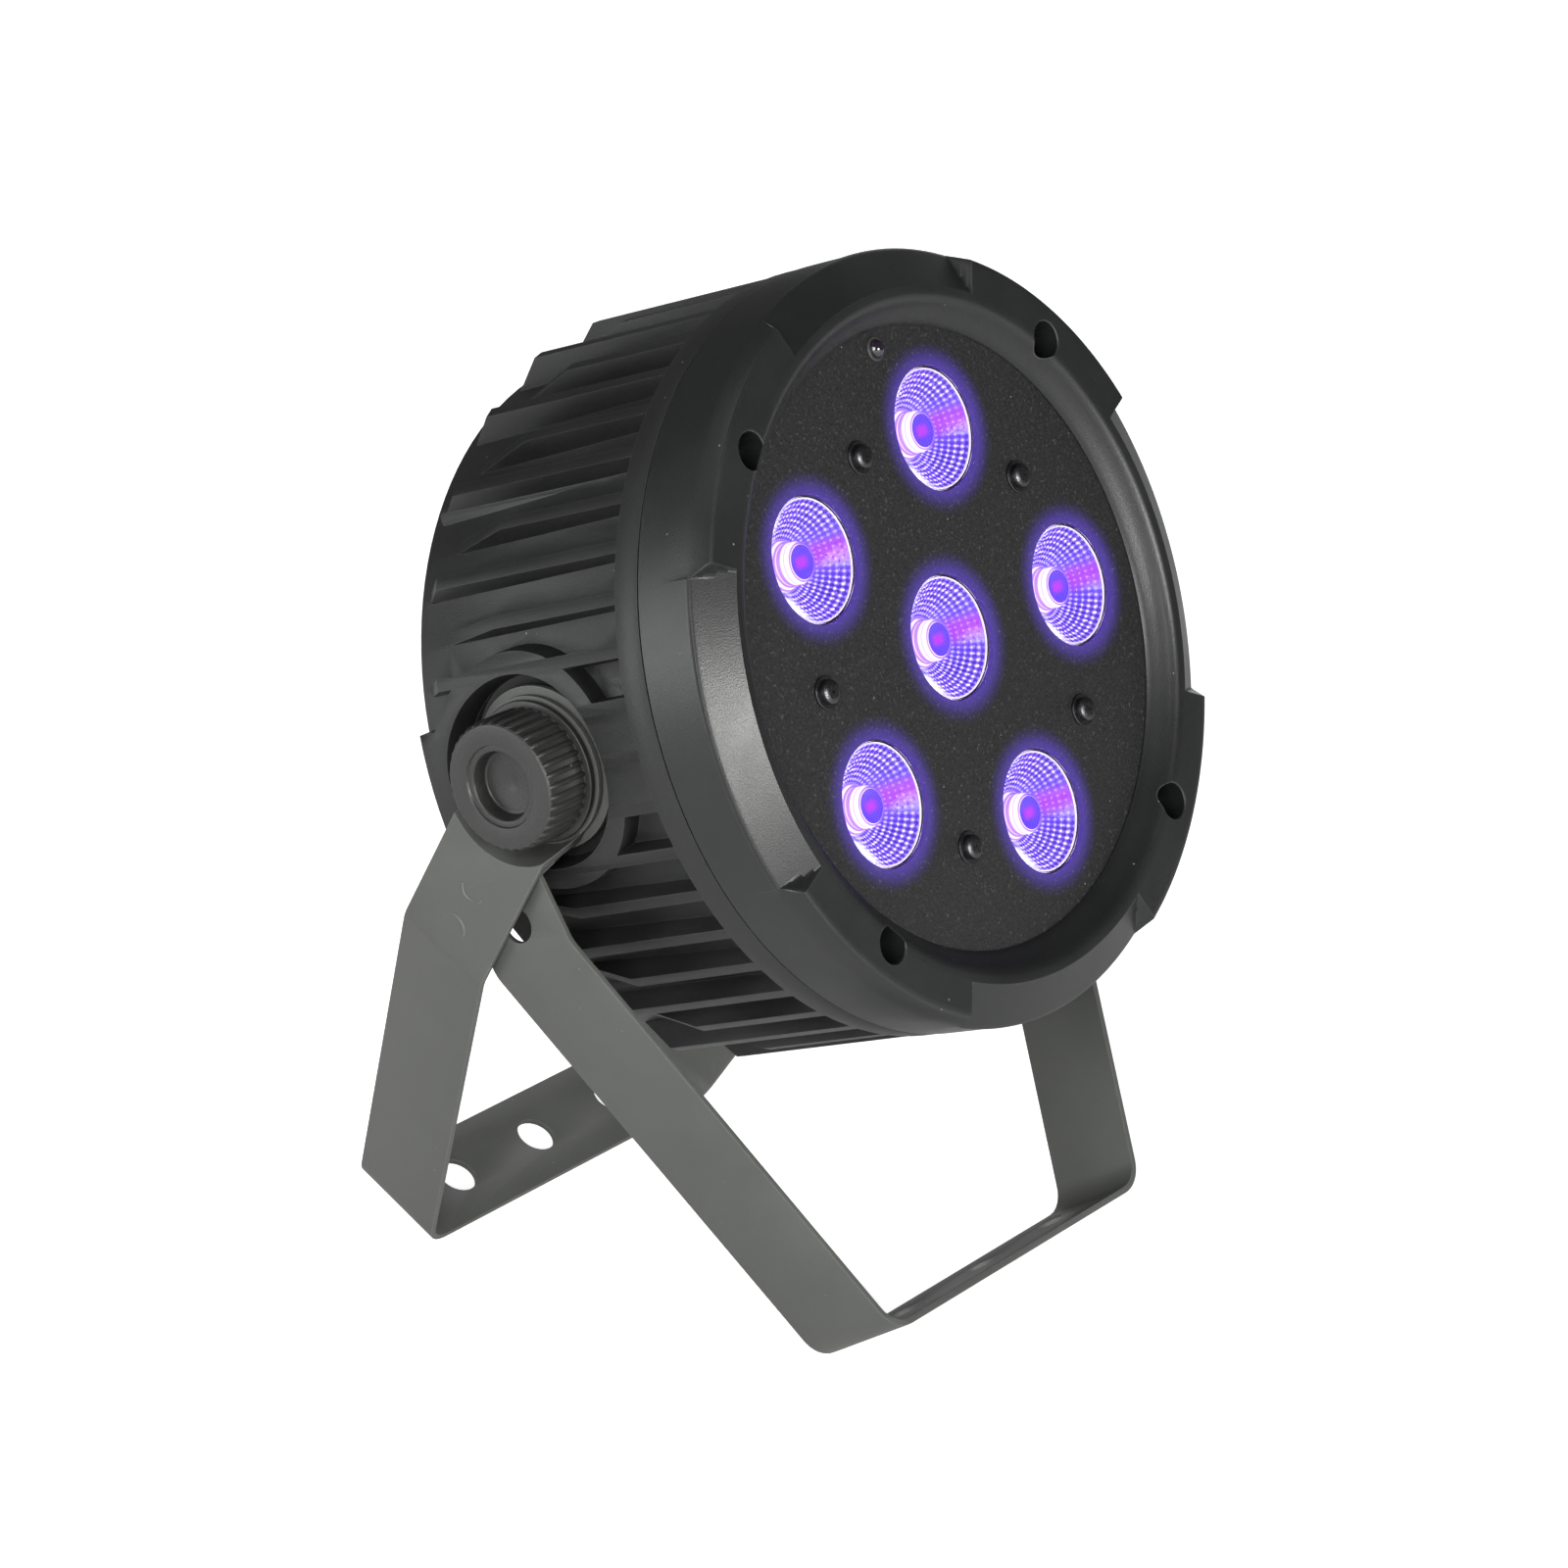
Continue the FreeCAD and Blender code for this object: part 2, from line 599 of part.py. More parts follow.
def rear_panel():
    """The rear plate with its sockets, display and keys, all reached from behind."""
    start = "back - 1"
    through = "panelThick + 2"
    tools = [cylinder("panelShank", through, **polar("panelScrewCircle", angle, start)) for angle in CORNERS]
    tools += [cylinder("socketRadius", through, x=x, y="socketY", z=start) for x in ("socketX", "-1 * socketX")]
    tools += [block("powerWidth", "powerHeight", through, x, "-1 * powerY", start) for x in ("powerX", "-1 * powerX")]
    tools.append(block("windowWidth", "windowHeight", through, "0", "windowY", start))
    tools += [cylinder("keyRadius + keyGap", through, x=x, y="keyY", z=start) for x in KEYS.values()]
    piece("rear_panel", cut(cylinder("panelRadius", "panelThick", z="back"), tools), "head")
    screws("rear_panel_screws", "screwHead", "panelShank", "rearWall + 1", "back",
           [polar("panelScrewCircle", angle) for angle in CORNERS], down=False)
    pane = block("windowWidth", "windowHeight", "panelThick", "0", "windowY", "back")
    rim = block("windowWidth + 2 * windowRim", "windowHeight + 2 * windowRim", "windowRimThick", "0", "windowY", "panelInside")
    piece("display_window", fused([pane, rim]), "head")
    piece("display_module", block("windowWidth - 2 * displayInset", "windowHeight - 2 * displayInset", "displayDepth",
                                  "0", "windowY", "panelInside + windowRimThick"), "head")
    piece("control_board", block("controlWidth", "windowY - keyY + 2 * controlMargin", "boardThick", "0",
                                 "(windowY + keyY) / 2", "controlFace"), "head")
    piece("key_switches", grouped([block("switchWidth", "switchWidth", "switchHeight", x, "keyY", "controlFace - switchHeight")
                                   for x in KEYS.values()]), "head")
    for label, x in KEYS.items():
        stem_end = "controlFace - switchHeight - keyTravel - fitGap"
        key = fused([cylinder("keyRadius", "keyProud + panelThick + keyGap", x=x, y="keyY", z="back - keyProud"),
                     cylinder("keyRadius + keyFlange", "keyFlangeThick", x=x, y="keyY", z="panelInside + keyGap"),
                     cylinder("0.4 * keyRadius", stem_end + " - panelInside - keyGap", x=x, y="keyY", z="panelInside + keyGap")])
        piece("key_" + label, key, "head")


def signal_sockets():
    """Three-pole round sockets: pins where the signal comes in, sleeves where it goes on."""
    for label, x in (("signal_in", "socketX"), ("signal_out", "-1 * socketX")):
        side = "2 * (socketRadius + socketLip)"
        flange = block(side, side, "flangeThick", x, "socketY", "back - flangeThick")
        barrel = cylinder("socketRadius", "connectorDepth", x=x, y="socketY", z="back")
        bore = "socketRadius - socketWall"
        well = cylinder(bore, "connectorDepth + flangeThick", x=x, y="socketY", z="back - flangeThick - 2 * socketWall")
        shell = cut(fused([flange, barrel]), [well])
        spots = [("%s + pinCircle * cos(%d deg)" % (x, angle), "socketY + pinCircle * sin(%d deg)" % angle)
                 for angle in (90, 210, 330)]
        if label == "signal_in":
            pins = [cylinder("pinRadius", "pinLength", x=px, y=py, z="back + connectorDepth - socketWall - pinLength")
                    for px, py in spots]
            solid = fused([shell] + pins)
        else:
            insert = cylinder(bore + " - plugGap", "connectorDepth - 3 * socketWall", x=x, y="socketY", z="back + 2 * socketWall")
            sleeves = [cylinder("pinRadius + fitGap", "pinLength", x=px, y=py, z="back + socketWall") for px, py in spots]
            solid = cut(fused([shell, insert]), sleeves)
        piece(label, solid, "head")


def power_sockets():
    """A mains inlet with three blades and a mains outlet with three slots."""
    for label, x in (("power_inlet", "powerX"), ("power_outlet", "-1 * powerX")):
        flange = block("powerWidth + 2 * powerLip", "powerHeight + 2 * powerLip", "flangeThick", x, "-1 * powerY",
                       "back - flangeThick")
        box = block("powerWidth", "powerHeight", "connectorDepth", x, "-1 * powerY", "back")
        inner = "powerWidth - 2 * powerWall", "powerHeight - 2 * powerWall"
        well = block(*inner, "connectorDepth + flangeThick", x, "-1 * powerY", "back - flangeThick - 2 * powerWall")
        shell = cut(fused([flange, box]), [well])
        spots = [("%s + %d * bladePitch" % (x, k), "%d * bladeStagger - powerY" % (1 - 2 * abs(k))) for k in (-1, 0, 1)]
        if label == "power_inlet":
            blades = [block("bladeWidth", "bladeHeight", "connectorDepth - 3 * powerWall", px, py, "back + 2 * powerWall")
                      for px, py in spots]
            solid = fused([shell] + blades)
        else:
            core = block(inner[0] + " - 2 * plugGap", inner[1] + " - 2 * plugGap", "connectorDepth - 3 * powerWall",
                         x, "-1 * powerY", "back + 2 * powerWall")
            slots = [block("bladeWidth + 2 * fitGap", "bladeHeight + 2 * fitGap", "connectorDepth / 2", px, py,
                           "back + powerWall") for px, py in spots]
            solid = cut(fused([shell, core]), slots)
        piece(label, solid, "head")


# Along the tilt axis, drawn on local +Z and turned to either side.

def pivots():
    """Per side: a threaded insert, a friction washer, and the clamping knob with its bolt."""
    for side in ("right", "left"):
        insert = cut(cylinder("insertRadius", "insertLength", z="bossFace - insertLength"),
                     [cylinder("boltRadius + boltRunGap", "insertLength + 2", z="bossFace - insertLength - 1")])
        piece("pivot_insert_" + side, insert, side)
        washer = cut(cylinder("frictionRadius", "frictionThick", z="bossFace"),
                     [cylinder("boltRadius + holeGap", "frictionThick + 2", z="bossFace - 1")])
        piece("friction_washer_" + side, washer, side)
        piece("knob_bolt_" + side, cylinder("boltRadius", "boltLength", z="knobBack + boltSink - boltLength"), side)
        grip = turned_body([
            ("boltRadius", "knobBack"), ("knobSkirt - knobChamfer", "knobBack"), ("knobSkirt", "knobBack + knobChamfer"),
            ("knobSkirt", "knobBack + skirtHeight"), ("knobRadius", "knobBack + skirtHeight + knobChamfer"),
            ("knobRadius", "knobTop - knobChamfer"), ("knobRadius - knobChamfer", "knobTop"), ("knobRecess", "knobTop"),
            ("knobRecess - knobChamfer", "knobTop - knobRecessDepth"), ("0", "knobTop - knobRecessDepth"),
            ("0", "knobBack + boltSink"), ("boltRadius", "knobBack + boltSink")])
        spoke(grip, [("knobRadius - knobChamfer", "knobBack + skirtHeight"), ("ridgeTip", "knobBack + skirtHeight"),
                     ("ridgeTip", "knobTop - 2.5 * knobChamfer"), ("knobRadius - knobChamfer", "knobTop - 1.2 * knobChamfer")],
              "ridgeWidth", "ridgeCount", 0.0)
        piece("knob_" + side, grip, side)


def yoke(label, name, offset):
    """A strap bent to a trapezium: flat sides, arms sloping in to a base with three fixing holes."""
    seat, plate, bend, length, half, dish = (name + word for word in ("Seat", "Plate", "Bend", "Length", "Half", "Dish"))
    lean = "atan((%s - %s) / (%s - %s))" % (plate, half, length, bend)
    outer = [(plate, "-1 * neckDrop"), (plate, "-1 * " + bend), (half, "-1 * " + length)]
    inner = [(plate + " - strapThick", "-1 * neckDrop"),
             (plate + " - strapThick", "strapThick * tan(%s / 2) - %s" % (lean, bend)),
             ("%s - strapThick * tan(45 deg - %s / 2)" % (half, lean), "strapThick - " + length)]
    left_outer = [("-1 * (%s)" % x, z) for x, z in outer]
    left_inner = [("-1 * (%s)" % x, z) for x, z in inner]
    strap = new_body()
    padded(strap, "XZ_Plane", outer + left_outer[::-1] + left_inner + inner[::-1], "strapWidth")
    doc.recompute()
    for corners, grow in ((outer[1:], " + strapThick"), (inner[1:], "")):
        for x, z in corners:
            bend_round(strap, value(x), value(z), "bendRadius" + grow)
    shift(strap, {"x": "0", "y": offset})
    tabs = [side_tab(seat, plate, offset, dish, turn) for turn in (90, -90)]
    through = {"x": "-2 * " + plate, "axis": Y_AXIS, "degrees": 90}
    holes = [cylinder("boltRadius + holeGap", "4 * " + plate, **through)]
    holes += [cylinder("mountHole", "bendRadius", x="%d * mountPitch" % k, y=offset, z="-1 * %s - 1" % length)
              for k in (-1, 0, 1)]
    if name == "front":
        holes.append(cylinder("keyHole", "4 * " + plate, y=offset, z="-1 * neckDrop", **through))
    piece(label, cut(fused([strap] + tabs), holes), name)


def bend_round(body, x, z, radius):
    """Round the pair of strap corners at height z and the same distance x to either side."""
    base = body.Tip
    names = []
    for index, edge in enumerate(base.Shape.Edges, start=1):
        middle = edge.CenterOfMass
        crossing = abs(edge.tangentAt(edge.FirstParameter).y) > 0.99
        if crossing and math.hypot(abs(middle.x) - x, middle.z - z) < 0.05:
            names.append("Edge%d" % index)
    fillet = body.newObject("PartDesign::Fillet", "bend")
    fillet.Base = (base, names)
    fillet.setExpression("Radius", tied("(%s) * 1 mm" % radius))
    body.Tip = fillet
    doc.recompute()


def side_tab(seat, plate, offset, dish, turn):
    """The pressed dish round one pivot: a flat seat, a steep step and the flat side plate."""
    step = "strapThick * tan(atan(1 / flare) / 2)"
    knob_side = "%s + flare * (%s - %s - strapThick)" % (dish, plate, seat)
    pressed = turned_body([
        ("0", seat + " + strapThick"), (dish, seat + " + strapThick"), (knob_side, plate), ("dishEdge", plate),
        ("dishEdge", plate + " - strapThick"), ("%s + %s" % (knob_side, step), plate + " - strapThick"),
        ("%s + %s" % (dish, step), seat), ("0", seat)])
    pressed.Placement = turned(Y_AXIS, turn)
    lobe = cylinder(dish, "2 * " + plate, axis=Y_AXIS, degrees=turn)
    near = "%s - strapWidth / 2" % offset
    far = "%s + strapWidth / 2" % offset
    outline = new_body()
    if dish == "frontDish":
        aim = "(acos(frontDish / sqrt(neckDrop^2 + (%s)^2)) - atan(neckDrop / (%s)))" % (far, far)
        corners = [(near, "0"), ("frontDish * cos(%s)" % aim, "frontDish * sin(%s)" % aim), (far, "-1 * neckDrop"),
                   (near, "-1 * neckDrop")]
    else:
        corners = [(near, "0"), (far, "0"), (far, "-1 * neckDrop"), (near, "-1 * neckDrop")]
    padded(outline, "YZ_Plane", corners, "4 * " + plate)
    return common([pressed, fused([lobe, outline])])


def build():
    housing()
    bezel()
    screws("bezel_screws", "screwRecess - 4 * fitGap", "bezelShank", "screwSeat - seam + bezelScrewReach", "screwSeat",
           [polar("screwCircle", angle) for angle in CORNERS])
    face_plate()
    optics()
    heat_sink()
    driver()
    rear_panel()
    signal_sockets()
    power_sockets()
    pivots()
    yoke("front_yoke", "front", "frontOffset")
    yoke("rear_yoke", "rear", "-1 * rearOffset")


def frames():
    """Where each group of pieces sits: the tilt axis height, and a placement for each group."""
    reach = "(strapWidth / 2 + %s)"
    front_edge = reach % "frontOffset"
    rear_edge = reach % "rearOffset"
    height = value("frontLength * cos(frontLean * 1 deg) + %s * sin(frontLean * 1 deg)" % front_edge)
    rear_reach = value("sqrt(rearLength^2 + %s^2)" % rear_edge)
    rear_lean = value("atan(%s / rearLength)" % rear_edge) + math.degrees(math.acos(height / rear_reach))
    head = turned(X_AXIS, 90 - value("tiltUp"))
    return height, {"head": head, "right": head.multiply(turned(Y_AXIS, 90)), "left": head.multiply(turned(Y_AXIS, -90)),
                    "front": turned(X_AXIS, -value("frontLean")), "rear": turned(X_AXIS, rear_lean)}


def check_document():
    for thing in doc.Objects:
        if "Invalid" in thing.State or "Error" in thing.State:
            raise RuntimeError("%s (%s) failed: %s" % (thing.Name, thing.Label, thing.State))
    for label, (thing, _) in pieces.items():
        if thing.Shape.isNull() or not thing.Shape.isValid() or not thing.Shape.Solids:
            raise RuntimeError(label + " has no valid solid")


def stand_on_floor():
    """Turn every piece into its group's place, then centre the whole over the origin on Z = 0."""
    height, placed = frames()
    for thing, frame in pieces.values():
        free = FreeCAD.Placement(placed[frame])
        own = FreeCAD.Placement(thing.Placement)
        for letter in "xyz":
            thing.setExpression("Placement.Base." + letter, None)
        thing.Placement = free.multiply(own)
    doc.recompute()
    whole = Part.makeCompound([thing.Shape for thing, _ in pieces.values()]).optimalBoundingBox(False)
    lift = FreeCAD.Vector(-(whole.XMin + whole.XMax) / 2, -(whole.YMin + whole.YMax) / 2, height)
    for thing, _ in pieces.values():
        thing.Placement = FreeCAD.Placement(lift, FreeCAD.Rotation()).multiply(thing.Placement)
    doc.recompute()
    print("tilt axis at %.3f %.3f %.3f" % tuple(lift), "lowest point at %.3f" % (whole.ZMin + height))
    print("size %.2f x %.2f x %.2f" % (whole.XLength, whole.YLength, whole.ZLength))


build()
doc.recompute()
check_document()
stand_on_floor()
check_document()
os.makedirs("parts", exist_ok=True)
for label, (thing, _) in pieces.items():
    thing.Shape.exportStep("parts/%s.step" % label)
print(len(pieces), "pieces written")
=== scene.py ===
import json
import math

import bmesh
import bpy
from mathutils import Matrix, Vector


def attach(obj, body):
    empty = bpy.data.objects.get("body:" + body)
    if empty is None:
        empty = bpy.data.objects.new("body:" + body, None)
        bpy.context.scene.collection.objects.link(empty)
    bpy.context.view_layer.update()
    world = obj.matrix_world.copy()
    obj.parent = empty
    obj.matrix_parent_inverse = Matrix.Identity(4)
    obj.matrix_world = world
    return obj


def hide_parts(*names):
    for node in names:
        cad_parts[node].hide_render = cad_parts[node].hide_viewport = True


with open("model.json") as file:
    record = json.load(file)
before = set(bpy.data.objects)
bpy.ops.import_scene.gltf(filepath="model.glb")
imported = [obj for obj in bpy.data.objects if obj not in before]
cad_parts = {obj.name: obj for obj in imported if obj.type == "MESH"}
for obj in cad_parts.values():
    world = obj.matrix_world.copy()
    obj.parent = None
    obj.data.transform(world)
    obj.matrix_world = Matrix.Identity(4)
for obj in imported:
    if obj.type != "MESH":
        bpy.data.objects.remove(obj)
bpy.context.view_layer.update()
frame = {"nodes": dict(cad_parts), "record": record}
print("frame loaded:", len(frame["nodes"]), "nodes")

mm = 0.001
headPitch = math.radians(71.3)      # the light axis leans back from straight up by this much
joints = {joint["name"]: joint for joint in frame["record"]["behaviour"]["joints"]}
pivot = Vector(joints["head_tilt"]["pos_m"])
headMatrix = Matrix.Translation(pivot) @ Matrix.Rotation(headPitch, 4, "X")

# Stations along the light axis and circles about it, in millimetres.
face = {
    "plate": 58.0,
    "front": 64.0,
    "back": -36.0,
    "ring": 50.0,
    "lensFront": 57.2,
    "lensRadius": 14.9,
    "bezelScrews": 82.8,
    "bezelSeat": 52.0,
    "panelScrews": 59.4,
}
lensAngles = [0, 72, 144, 216, 288]
lensCentres = [(0.0, 0.0)] + [
    (face["ring"] * math.cos(math.radians(a)), face["ring"] * math.sin(math.radians(a))) for a in lensAngles
]


def addNode(tree, kind, **settings):
    node = tree.nodes.new(kind)
    for name, value in settings.items():
        setattr(node, name, value)
    return node


def wire(tree, source, target):
    tree.links.new(source, target)


def math2(tree, operation, first, second=None, clamp=False):
    node = addNode(tree, "ShaderNodeMath", operation=operation, use_clamp=clamp)
    for socket, value in zip(node.inputs, (first, second)):
        if value is None:
            continue
        if isinstance(value, bpy.types.NodeSocket):
            wire(tree, value, socket)
        else:
            socket.default_value = value
    return node.outputs[0]


def times(tree, first, second, clamp=False):
    return math2(tree, "MULTIPLY", first, second, clamp)


def mapRange(tree, value, low, high, toLow=0.0, toHigh=1.0, smooth=False):
    node = addNode(tree, "ShaderNodeMapRange", interpolation_type="SMOOTHSTEP" if smooth else "LINEAR")
    wire(tree, value, node.inputs["Value"])
    for name, number in (("From Min", low), ("From Max", high), ("To Min", toLow), ("To Max", toHigh)):
        node.inputs[name].default_value = number
    return node.outputs[0]


def mixColour(tree, factor, first, second, blend="MIX"):
    node = addNode(tree, "ShaderNodeMix", data_type="RGBA", blend_type=blend)
    for socket, value in ((node.inputs[0], factor), (node.inputs[6], first), (node.inputs[7], second)):
        if isinstance(value, bpy.types.NodeSocket):
            wire(tree, value, socket)
        elif isinstance(value, tuple):
            socket.default_value = (*value, 1.0)
        else:
            socket.default_value = value
    return node.outputs[2]


def shaderGroup(name, inputs, outputs):
    group = bpy.data.node_groups.new(name, "ShaderNodeTree")
    for label, kind, value in inputs:
        socket = group.interface.new_socket(name=label, in_out="INPUT", socket_type=kind)
        if value is not None:
            socket.default_value = value
    for label, kind in outputs:
        group.interface.new_socket(name=label, in_out="OUTPUT", socket_type=kind)
    return group, addNode(group, "NodeGroupInput"), addNode(group, "NodeGroupOutput")


def makeGrain():
    # Spark-eroded grain with a slow tonal drift, for moulded plastic and powder coat.
    group, given, result = shaderGroup(
        "surfaceGrain",
        [("Vector", "NodeSocketVector", None), ("Grain Size", "NodeSocketFloat", 0.5),
         ("Drift Size", "NodeSocketFloat", 40.0)],
        [("Height", "NodeSocketFloat"), ("Drift", "NodeSocketFloat"), ("Speck", "NodeSocketFloat")])
    fine = addNode(group, "ShaderNodeTexNoise", noise_dimensions="3D")
    fine.inputs["Detail"].default_value = 3.0
    slow = addNode(group, "ShaderNodeTexNoise", noise_dimensions="3D")
    slow.inputs["Detail"].default_value = 4.0
    slow.inputs["Roughness"].default_value = 0.6
    wire(group, given.outputs["Vector"], fine.inputs["Vector"])
    wire(group, given.outputs["Vector"], slow.inputs["Vector"])
    wire(group, math2(group, "DIVIDE", 1000.0, given.outputs["Grain Size"]), fine.inputs["Scale"])
    wire(group, math2(group, "DIVIDE", 1000.0, given.outputs["Drift Size"]), slow.inputs["Scale"])
    wire(group, fine.outputs[0], result.inputs["Height"])
    wire(group, mapRange(group, slow.outputs[0], 0.3, 0.7), result.inputs["Drift"])
    wire(group, mapRange(group, fine.outputs[0], 0.62, 0.74), result.inputs["Speck"])
    return group


def makeDust():
    # Sparse pale specks of dust and short fibres.
    group, given, result = shaderGroup(
        "dustSpecks",
        [("Vector", "NodeSocketVector", None), ("Spacing", "NodeSocketFloat", 4.0),
         ("Amount", "NodeSocketFloat", 0.5)],
        [("Mask", "NodeSocketFloat")])
    cells = addNode(group, "ShaderNodeTexVoronoi", feature="F1")
    cells.inputs["Randomness"].default_value = 1.0
    wire(group, given.outputs["Vector"], cells.inputs["Vector"])
    wire(group, math2(group, "DIVIDE", 1000.0, given.outputs["Spacing"]), cells.inputs["Scale"])
    split = addNode(group, "ShaderNodeSeparateColor")
    wire(group, cells.outputs["Color"], split.inputs[0])
    reach = times(group, mapRange(group, split.outputs[0], 0.72, 1.0), 0.09)
    inside = math2(group, "SUBTRACT", reach, cells.outputs["Distance"])
    mask = mapRange(group, inside, 0.0, 0.02)
    wire(group, times(group, mask, given.outputs["Amount"]), result.inputs["Mask"])
    return group


def makeEdgeWear():
    # Brighter corners where coating is thin or handled.
    group, given, result = shaderGroup(
        "edgeWear",
        [("Vector", "NodeSocketVector", None), ("Width", "NodeSocketFloat", 0.5),
         ("Breakup", "NodeSocketFloat", 0.5)],
        [("Mask", "NodeSocketFloat")])
    rounded = addNode(group, "ShaderNodeBevel", samples=4)
    wire(group, times(group, given.outputs["Width"], mm), rounded.inputs["Radius"])
    flat = addNode(group, "ShaderNodeNewGeometry")
    dot = addNode(group, "ShaderNodeVectorMath", operation="DOT_PRODUCT")
    wire(group, rounded.outputs[0], dot.inputs[0])
    wire(group, flat.outputs["Normal"], dot.inputs[1])
    edge = mapRange(group, dot.outputs["Value"], 0.99, 0.82)
    noise = addNode(group, "ShaderNodeTexNoise")
    noise.inputs["Scale"].default_value = 260.0
    wire(group, given.outputs["Vector"], noise.inputs["Vector"])
    patch = mapRange(group, noise.outputs[0], 0.35, 0.65)
    blend = addNode(group, "ShaderNodeMix", data_type="FLOAT")
    wire(group, given.outputs["Breakup"], blend.inputs[0])
    blend.inputs[2].default_value = 1.0
    wire(group, patch, blend.inputs[3])
    wire(group, times(group, edge, blend.outputs[0]), result.inputs["Mask"])
    return group


surfaceGrain = makeGrain()
dustSpecks = makeDust()
edgeWear = makeEdgeWear()


def useGroup(tree, group, vector, **values):
    node = addNode(tree, "ShaderNodeGroup", node_tree=group)
    wire(tree, vector, node.inputs["Vector"])
    for name, value in values.items():
        node.inputs[name].default_value = value
    return node


def startMaterial(name):
    material = bpy.data.materials.new(name)
    material.use_nodes = True
    tree = material.node_tree
    shader = next(node for node in tree.nodes if node.type == "BSDF_PRINCIPLED")
    coordinates = addNode(tree, "ShaderNodeTexCoord")
    return material, tree, shader, coordinates.outputs["Object"]


def shaded(colour, share):
    return tuple(channel * share for channel in colour)


relief = {"coat": 0.3 * mm, "metal": 0.2 * mm}


def addRelief(tree, shader, height, strength, distance):
    bump = addNode(tree, "ShaderNodeBump")
    bump.inputs["Strength"].default_value = strength
    bump.inputs["Distance"].default_value = distance
    wire(tree, height, bump.inputs["Height"])
    wire(tree, bump.outputs[0], shader.inputs["Normal"])


coat = {"shade": 0.72, "wear": 0.75, "dustSpacing": 3.2, "dust": (0.42, 0.42, 0.40), "breakup": 0.45,
        "gloss": 0.25}


def coated(name, colour, worn, rough, grain, drift=40.0, bump=0.12, dust=0.5, edge=0.5,
           clear=0.0, speck=0.0):
    # A grained dark finish: slow drift in tone and gloss, dust in the open, paler corners.
    material, tree, shader, vector = startMaterial(name)
    texture = useGroup(tree, surfaceGrain, vector, **{"Grain Size": grain, "Drift Size": drift})
    dusty = useGroup(tree, dustSpecks, vector, Spacing=coat["dustSpacing"], Amount=dust)
    corners = useGroup(tree, edgeWear, vector, Width=edge, Breakup=coat["breakup"])
    tone = mixColour(tree, texture.outputs["Drift"], shaded(colour, coat["shade"]), colour)
    tone = mixColour(tree, times(tree, texture.outputs["Speck"], speck), tone, worn)
    tone = mixColour(tree, times(tree, corners.outputs["Mask"], coat["wear"]), tone, worn)
    tone = mixColour(tree, dusty.outputs["Mask"], tone, coat["dust"])
    wire(tree, tone, shader.inputs["Base Color"])
    gloss = mapRange(tree, texture.outputs["Drift"], 0.0, 1.0, rough - 0.05, rough + 0.06)
    gloss = math2(tree, "ADD", gloss, times(tree, texture.outputs["Height"], 0.06))
    wire(tree, gloss, shader.inputs["Roughness"])
    addRelief(tree, shader, texture.outputs["Height"], bump, relief["coat"])
    shader.inputs["Coat Weight"].default_value = clear
    shader.inputs["Coat Roughness"].default_value = coat["gloss"]
    return material


def metal(name, colour, rough, brush=0.6, axis=(1.0, 1.0, 8.0)):
    material, tree, shader, vector = startMaterial(name)
    stretch = addNode(tree, "ShaderNodeMapping")
    stretch.inputs["Scale"].default_value = axis
    wire(tree, vector, stretch.inputs["Vector"])
    texture = useGroup(tree, surfaceGrain, stretch.outputs[0], **{"Grain Size": brush, "Drift Size": 9.0})
    tone = mixColour(tree, texture.outputs["Drift"], shaded(colour, 0.7), colour)
    wire(tree, tone, shader.inputs["Base Color"])
    gloss = mapRange(tree, texture.outputs["Height"], 0.3, 0.7, rough - 0.08, rough + 0.1)
    wire(tree, gloss, shader.inputs["Roughness"])
    addRelief(tree, shader, texture.outputs["Height"], 0.15, relief["metal"])
    shader.inputs["Metallic"].default_value = 1.0
    return material


def headLocal(tree, vector):
    # Object coordinates turned into the head's own frame, still in metres.
    node = addNode(tree, "ShaderNodeMapping", vector_type="TEXTURE")
    node.inputs["Location"].default_value = pivot
    node.inputs["Rotation"].default_value = (headPitch, 0.0, 0.0)
    wire(tree, vector, node.inputs["Vector"])
    return node.outputs[0]


# The glow, reach, fade and strength entries set a painted violet glow on the plate round each lens.
plateFinishAndPaintedGlow = {"dark": (0.0055, 0.0055, 0.0057), "colour": (0.0075, 0.0075, 0.0078),
               "pale": (0.075, 0.075, 0.075),
               "dust": (0.3, 0.3, 0.29), "speck": 0.55, "grain": 0.75, "drift": 55.0,
               "bump": 0.3, "paintedGlowFade": 2.0, "glow": (0.16, 0.07, 0.85), "reach": 7.5 * mm, "strength": 0.36}


